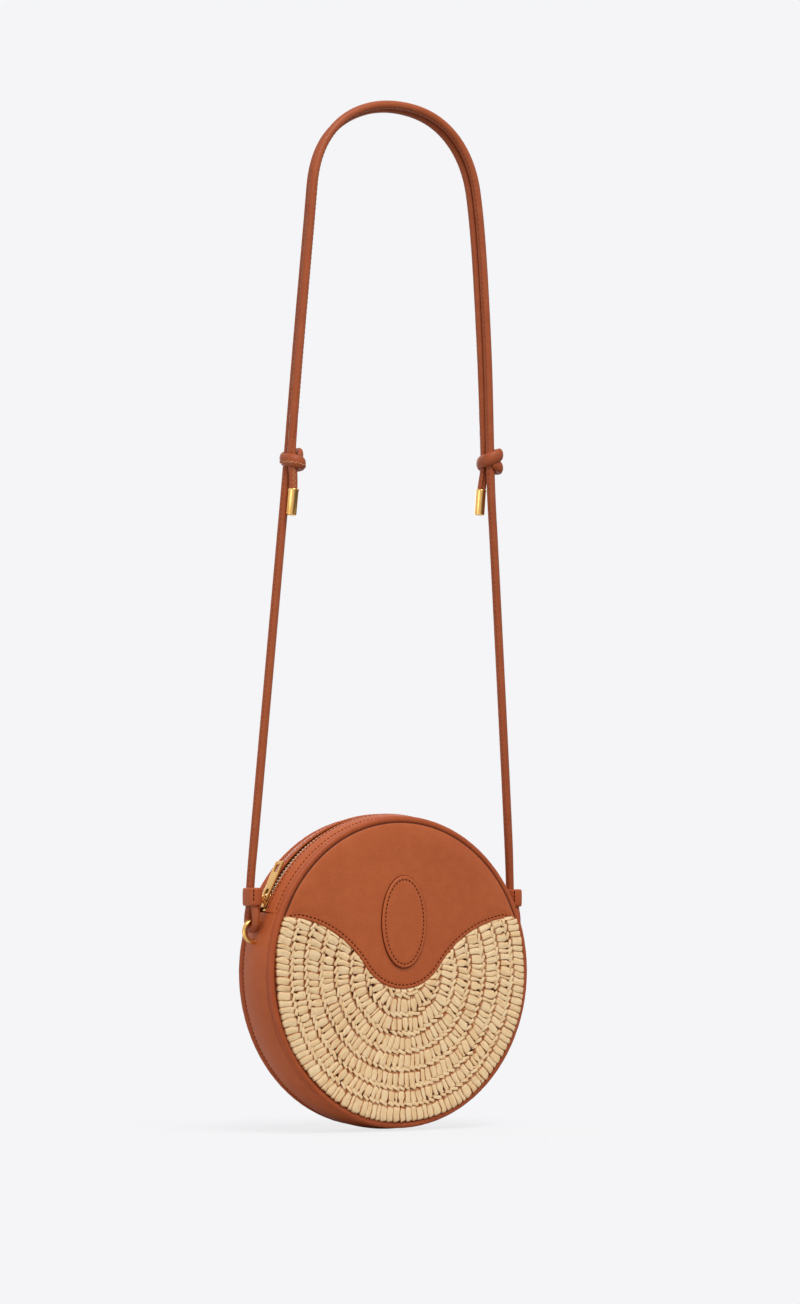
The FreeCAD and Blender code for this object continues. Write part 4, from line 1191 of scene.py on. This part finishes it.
# Each knot as (middle, control points about it): one full wrap in front and a second lobe tucked behind it
LEFT_KNOT = ((-74.4, 0, 338.7), [(0.5, 6.4, -1.6), (5.2, 7.4, -1.6), (5.4, -7.4, -1.7), (-5.2, -7.4, 0.5),
                                 (-5.2, 7.4, 2.0), (5.0, 7.4, 5.4), (5.8, -1.5, 6.0), (2.0, -4.6, 2.6)])
RIGHT_KNOT = ((86.4, 0, 351.8), [(0.5, 6.4, 2.0), (5.4, 7.4, 2.6), (6.4, -7.4, 3.6), (-6.0, -7.4, -1.6),
                                 (-5.4, 7.4, -2.4), (4.6, 7.6, -5.2), (8.8, -5.0, -6.6), (-1.6, -6.8, -4.0)])
WRAP_HALF = 4.4
WRAP_THICK = 2.5
WRAP_SPACING = 1.1
WRAP_END_GIRTH = 0.55
WRAP_END_GROWTH = 6
# Seam of a knot: the shares of its length between which it is sewn, its slant and how it lies
WRAP_SEWN = (0.08, 0.92)
WRAP_SEAM_SLANT = 0.7
WRAP_SEAM_OUT = 0.93
WRAP_SEAM_LEAN = 0.36
WRAP_SEAM_ASIDE = 1.6

# Levels up a ferrule from its foot, with the radius at each
FERRULE_SECTION = [(0.0, 2.5), (0.12, 2.95), (0.45, 3.3), (0.95, 3.45), (16.3, 3.45), (16.5, 3.6),
                   (16.8, 3.76), (17.3, 3.76), (17.6, 3.6), (17.85, 3.3), (17.9, 2.95), (17.4, 2.75),
                   (14.0, 2.7)]
FERRULE_FOOT = 1.7
FERRULE_SIDES = 32

KEEPER_SIDE = 105.0
KEEPER_MIDDLE = 49.4
KEEPER_HALF = 4.75
KEEPER_STRANDS = 2.85
KEEPER_STEPS = 40
# Levels from the keeper's middle to one end with the inset at each, and the inner face
KEEPER_END = [(3.2, -0.12), (4.8, 0.0), (5.4, 0.2), (5.8, 0.55), (5.95, 1.0), (5.9, 1.4), (5.65, 1.9)]
KEEPER_INSIDE = [(4.6, 1.95), (-4.9, 1.95)]
KEEPER_SECTION = [(-level, inset) for level, inset in reversed(KEEPER_END)] + [(0.0, -0.16)]
KEEPER_SECTION += KEEPER_END + KEEPER_INSIDE
KEEPER_SEAM = -38
KEEPER_STITCHES = (-1.5, 1.1, 3.7)
KEEPER_THREAD_LIFT = 0.1


def spline_line(points, spacing):
    """Even points read from the NURBS spline over control points."""
    data = bpy.data.curves.new("route", "CURVE")
    data.dimensions = "3D"
    spline = data.splines.new("NURBS")
    spline.points.add(len(points) - 1)
    for control, point in zip(spline.points, points):
        control.co = (*point, 1)
    spline.order_u = 3
    spline.use_endpoint_u = True
    spline.resolution_u = 24
    guide = bpy.data.objects.new("route", data)
    mesh = bpy.data.meshes.new_from_object(guide)
    line = [vert.co.copy() for vert in mesh.vertices]
    bpy.data.objects.remove(guide)
    bpy.data.curves.remove(data)
    bpy.data.meshes.remove(mesh)
    walked = np.cumsum([0.0] + [(second - first).length for first, second in zip(line, line[1:])])
    wanted = np.linspace(0, walked[-1], round(walked[-1] / spacing) + 1)
    axes = [np.interp(wanted, walked, [point[axis] for point in line]) for axis in range(3)]
    return [Vector(spot) for spot in zip(*axes)]


def carried_frames(line):
    """Way and front direction at each point, the front carried without twist both ways from the middle."""
    ways = [way_at(line, number) for number in range(len(line))]
    fronts = [None] * len(line)
    middle = len(line) // 2
    fronts[middle] = (FRONT - ways[middle] * FRONT.dot(ways[middle])).normalized()
    for numbers, back in ((range(middle + 1, len(line)), -1), (range(middle - 1, -1, -1), 1)):
        for number in numbers:
            turn = ways[number + back].rotation_difference(ways[number])
            fronts[number] = turn @ fronts[number + back]
    return ways, fronts


def strap_cord(side, route, tail_twist, tail_thread, cap, wrap):
    """Rolled leather cord with a sewn seam, which turns to the front along the free end."""
    line = spline_line(route, CORD_SPACING)
    ways, fronts = carried_frames(line)
    halves = [float(np.interp(number * CORD_SPACING, LOOP_END, (LOOP_HALF, CORD_HALF)))
              for number in range(len(line))]

    def out_at(number, place):
        """Direction out of the cord at one of its points, at a place in degrees from its seam."""
        left = (len(line) - 1 - number) * CORD_SPACING
        share = min(1.0, max(0.0, 1 - (left - TWIST_END) / TWIST_LENGTH))
        turn = math.radians(SEAM_START + tail_twist * share * share * (3 - 2 * share) + place)
        return fronts[number] * math.cos(turn) + ways[number].cross(fronts[number]) * math.sin(turn)

    rows = []
    for number, centre in enumerate(line):
        row = []
        for place in SEAM_PLACES:
            gap = min(place, 360 - place)
            reach = halves[number] - SEAM_DEEP * math.exp(-(gap / SEAM_WIDE) ** 2)
            row.append(centre + out_at(number, place) * reach)
        rows.append(row)
    cord = Form().solid(rows).make(f"cord_{side}", CORD_LEATHER, "strap", "leather", [f"strap_cord_{side}"])
    sewing = Form()
    tail = Form()
    covered = len(line) - round(FERRULE_COVER / CORD_SPACING)
    crossed_from = covered - round(CROSSED_LENGTH / CORD_SPACING)
    for number in range(DASH_FIRST, crossed_from, DASH_STEP):
        out = out_at(number, DASH_PLACE)
        spot = line[number] + out * (halves[number] - DASH_SUNK)
        stitch(sewing, spot, ways[number], out, length=2.4, width=0.45)
    for number in range(crossed_from, covered):
        out = out_at(number, CROSS_PLACE)
        slant = CROSS_SLANT if number % 2 else -CROSS_SLANT
        along = (ways[number] + out.cross(ways[number]) * slant).normalized()
        spot = line[number] + out * (halves[number] - CROSS_SUNK)
        stitch(tail, spot, along, out, length=2.6, width=0.5)
    seams = sewing.make(f"cord_{side}_stitches", CORD_THREAD, "strap", "dark_leather")
    crossed = tail.make(f"tail_{side}_stitches", tail_thread, "strap", "leather")
    tuple(in_frame(line[0]))
    length_of(line) / 1000
    [tuple(in_frame(point)) for point in line]


def knot(side, plan, seam_shows):
    """Wrapped knot: the cord lies flattened round both strands."""
    middle = Vector(plan[0])
    line = spline_line([middle + Vector(point) for point in plan[1]], WRAP_SPACING)
    rows = []
    sewing = Form()
    for number, centre in enumerate(line):
        way = way_at(line, number)
        out = centre - middle
        out.z = 0
        out = (out - way * out.dot(way)).normalized()
        across = way.cross(out)
        share = number / (len(line) - 1)
        girth = min(1.0, WRAP_END_GIRTH + WRAP_END_GROWTH * min(share, 1 - share))
        rows.append(oval(centre, across * (WRAP_HALF * girth), out * (WRAP_THICK * girth), TUBE_SIDES))
        if seam_shows and WRAP_SEWN[0] < share < WRAP_SEWN[1]:
            up = (out * WRAP_SEAM_OUT - across * WRAP_SEAM_LEAN).normalized()
            slant = WRAP_SEAM_SLANT if number % 2 else -WRAP_SEAM_SLANT
            spot = centre + out * (WRAP_THICK * WRAP_SEAM_OUT) - across * WRAP_SEAM_ASIDE
            stitch(sewing, spot, (way + across * slant).normalized(), up, length=2.5, width=0.5)
    piece = Form().solid(rows).make(f"knot_{side}_wrap", CORD_LEATHER, "strap", "leather", [f"knot_{side}"])
    if seam_shows:
        seams = sewing.make(f"knot_{side}_stitches", PALE_THREAD, "strap", "leather")
        seams.parent = piece
    return piece


def ferrule(side, route):
    """Plain brass cap: softened foot, straight barrel and a bead at the mouth."""
    foot, before = Vector(route[-1]), Vector(route[-2])
    heading = (before - foot).normalized()
    base = foot - heading * FERRULE_FOOT
    across = heading.cross(FRONT).normalized()
    front = across.cross(heading)
    rows = [oval(base + heading * level, across * radius, front * radius, FERRULE_SIDES)
            for level, radius in FERRULE_SECTION]
    form = Form().solid(rows)
    return form.make(f"ferrule_{side}_brass", BRASS, "strap", "brass", [f"ferrule_{side}"], sharp=60)


def keepers():
    """Leather bands at the strap's loops: folded round both strands and sewn up one side."""
    sewing = Form()
    seam_way = math.radians(KEEPER_SEAM)
    out = Vector((math.sin(seam_way), -math.cos(seam_way), 0))
    for name, side in (("left", -1), ("right", 1)):
        middle = Vector((side * KEEPER_SIDE, 0, KEEPER_MIDDLE))
        front_strand = FRONT * KEEPER_STRANDS
        rows = []
        for level, inset in KEEPER_SECTION:
            half = KEEPER_HALF - inset
            row = []
            for step in range(KEEPER_STEPS):
                turn = math.tau * (step + 0.5) / KEEPER_STEPS
                strand_place = front_strand if math.cos(turn) > 0 else -front_strand
                reach = RIGHT * math.sin(turn) + FRONT * math.cos(turn)
                row.append(middle + UP * level + strand_place + reach * half)
            rows.append(row)
        form = Form().ring(rows)
        form.make(f"keeper_{name}_leather", EDGE_LEATHER, "strap", "leather", [f"keeper_{name}"])
        for level in KEEPER_STITCHES:
            spot = middle + UP * level + front_strand + out * (KEEPER_HALF + KEEPER_THREAD_LIFT)
            stitch(sewing, spot, UP, out, length=2.2, width=0.85)
    sewing.make("keeper_stitches", THREAD, "strap", "dark_leather")


# The bag

gusset_shell()
zip_strips()
pipings()
back_leather()
front_sewing = Form()
yoke(front_sewing)
badge(front_sewing)
front_sewing.make("front_stitches", THREAD, "bag", "dark_leather")
crochet()
for row_name, row_side in (("front", -1), ("rear", 1)):
    tape(row_name, row_side)
    teeth(row_name, row_side)
zip_stops()
slider()
pull()
staples()
keepers()
strap_cord("left", LEFT_ROUTE, tail_twist=105, tail_thread=CORD_THREAD,
           cap=ferrule("right", LEFT_ROUTE), wrap=knot("right", RIGHT_KNOT, seam_shows=False))
strap_cord("right", RIGHT_ROUTE, tail_twist=95, tail_thread=PALE_THREAD,
           cap=ferrule("left", RIGHT_ROUTE), wrap=knot("left", LEFT_KNOT, seam_shows=True))

INNER_FINISHES = {
    "front_board": BOARD, "front_lining": LINING, "back_lining": LINING, "gusset_lining": LINING,
    "staple_plate_left": STEEL, "staple_plate_right": STEEL,
}
for node, finish in INNER_FINISHES.items():
    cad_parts[node].data.materials.clear()
    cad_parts[node].data.materials.append(finish)


# Stage, light and camera

BACKDROP = shade(245, 245, 247)
WHITE = (1.0, 1.0, 1.0, 1.0)
ROOM_LIGHT = 0.54
LOW_LIGHT = 0.22
DIM_LIGHT = 0.16
DIM_SIDE = (0.8, -0.6, 0.0)
DOWN = (0, 0, -1)
FLOOR_HEIGHT = -105.6
FLOOR_REACH = 320.0
FLOOR_STEPS = 48
FLOOR_MATT = (0.14, 0.14, 0.14, 1.0)
FLOOR_BOUNCE = (0.5, 0.5, 0.5, 1.0)
FLOOR_GLOW = 0.84
FADE_START = 0.08
FADE_END = 0.22
LAMP_AIM = Vector((0, 0, 60))
CAMERA_SPOT = Vector((-1391.88, -2087.47, 33.28))
CAMERA_WAY = Vector((0.55658, 0.82766, 0.07214))
CAMERA_LENS = 102.84


def floor():
    """Pale floor under the bag that takes its shadow and fades into the backdrop."""
    bench = Bench("pale_floor")
    reach = bench.vector_math("LENGTH", bench.place(), output="Value")
    matt = bench.node("BsdfDiffuse", {"Color": FLOOR_MATT})
    glow = bench.node("Emission", {"Color": BACKDROP, "Strength": FLOOR_GLOW})
    pale = bench.node("AddShader", {0: matt, 1: glow})
    bounce = bench.node("BsdfDiffuse", {"Color": FLOOR_BOUNCE})
    pale = bench.mix(bench.ray("Is Camera Ray"), bounce, pale)
    clear = bench.node("BsdfTransparent")
    surface = bench.mix(bench.spread(reach, FADE_START, FADE_END), pale, clear)
    bench.node("OutputMaterial", {"Surface": surface})
    mesh = bpy.data.meshes.new("floor")
    rim = oval(Vector(), RIGHT * (FLOOR_REACH / 1000), FRONT * (-FLOOR_REACH / 1000), FLOOR_STEPS)
    mesh.from_pydata(rim, [], [tuple(range(FLOOR_STEPS))])
    mesh.materials.append(bench.finish)
    ground = add_object("floor", mesh)
    ground.location = in_frame(UP * FLOOR_HEIGHT)


def backdrop():
    """Pale surroundings: the backdrop to the eye and in the metal, where it is dim at the front right, and a
    softer light on the bag, weaker from below."""
    bench = Bench("pale_room", "worlds")

    def glow(colour, strength):
        return bench.node("Background", {"Color": colour, "Strength": strength})

    def facing(side, low, high):
        """How far a ray goes to a side, from 0 to 1."""
        way = bench.node("TexCoord", output="Generated")
        return bench.spread(bench.vector_math("DOT_PRODUCT", way, side, "Value"), low, high)

    glossy = bench.ray("Is Glossy Ray")
    seen = bench.math("MAXIMUM", bench.ray("Is Camera Ray"), glossy)
    seen = bench.math("MAXIMUM", seen, bench.ray("Is Transmission Ray"))
    light = bench.mix(facing(DOWN, low=0.0, high=0.5), glow(WHITE, ROOM_LIGHT), glow(WHITE, LOW_LIGHT))
    light = bench.mix(seen, light, glow(BACKDROP, 1.0))
    dim = glossy * facing(DIM_SIDE, low=0.2, high=0.75)
    light = bench.mix(dim, light, glow(BACKDROP, DIM_LIGHT))
    bench.node("OutputWorld", {"Surface": light})
    bpy.context.scene.world = bench.finish


def soft_box(name, spot, width, height, power):
    """Rectangular studio light aimed at the bag, its sides in metres."""
    data = bpy.data.lights.new(name, "AREA")
    data.shape = "RECTANGLE"
    data.size, data.size_y = width, height
    data.energy = power
    lamp = add_object(name, data)
    lamp.location = in_frame(Vector(spot))
    way = in_frame(LAMP_AIM) - lamp.location
    lamp.rotation_euler = way.to_track_quat("-Z", "Y").to_euler()


floor()
backdrop()
soft_box("key", (-300, -1500, 2300), 1.2, 1.2, 45)
soft_box("side", (-1900, -300, -300), 1.0, 1.0, 6.5)
soft_box("fill", (1900, -1400, 700), 1.2, 1.6, 5)
soft_box("rear", (500, 2000, 600), 1.2, 1.2, 9)

lens = bpy.data.cameras.new("camera")
lens.lens = CAMERA_LENS
lens.sensor_width = 36.0
lens.clip_end = 20.0
camera = add_object("camera", lens)
camera.location = in_frame(CAMERA_SPOT)
camera.rotation_euler = CAMERA_WAY.to_track_quat("-Z", "Y").to_euler()
bpy.context.scene.camera = camera
bpy.context.scene.view_settings.view_transform = "Standard"
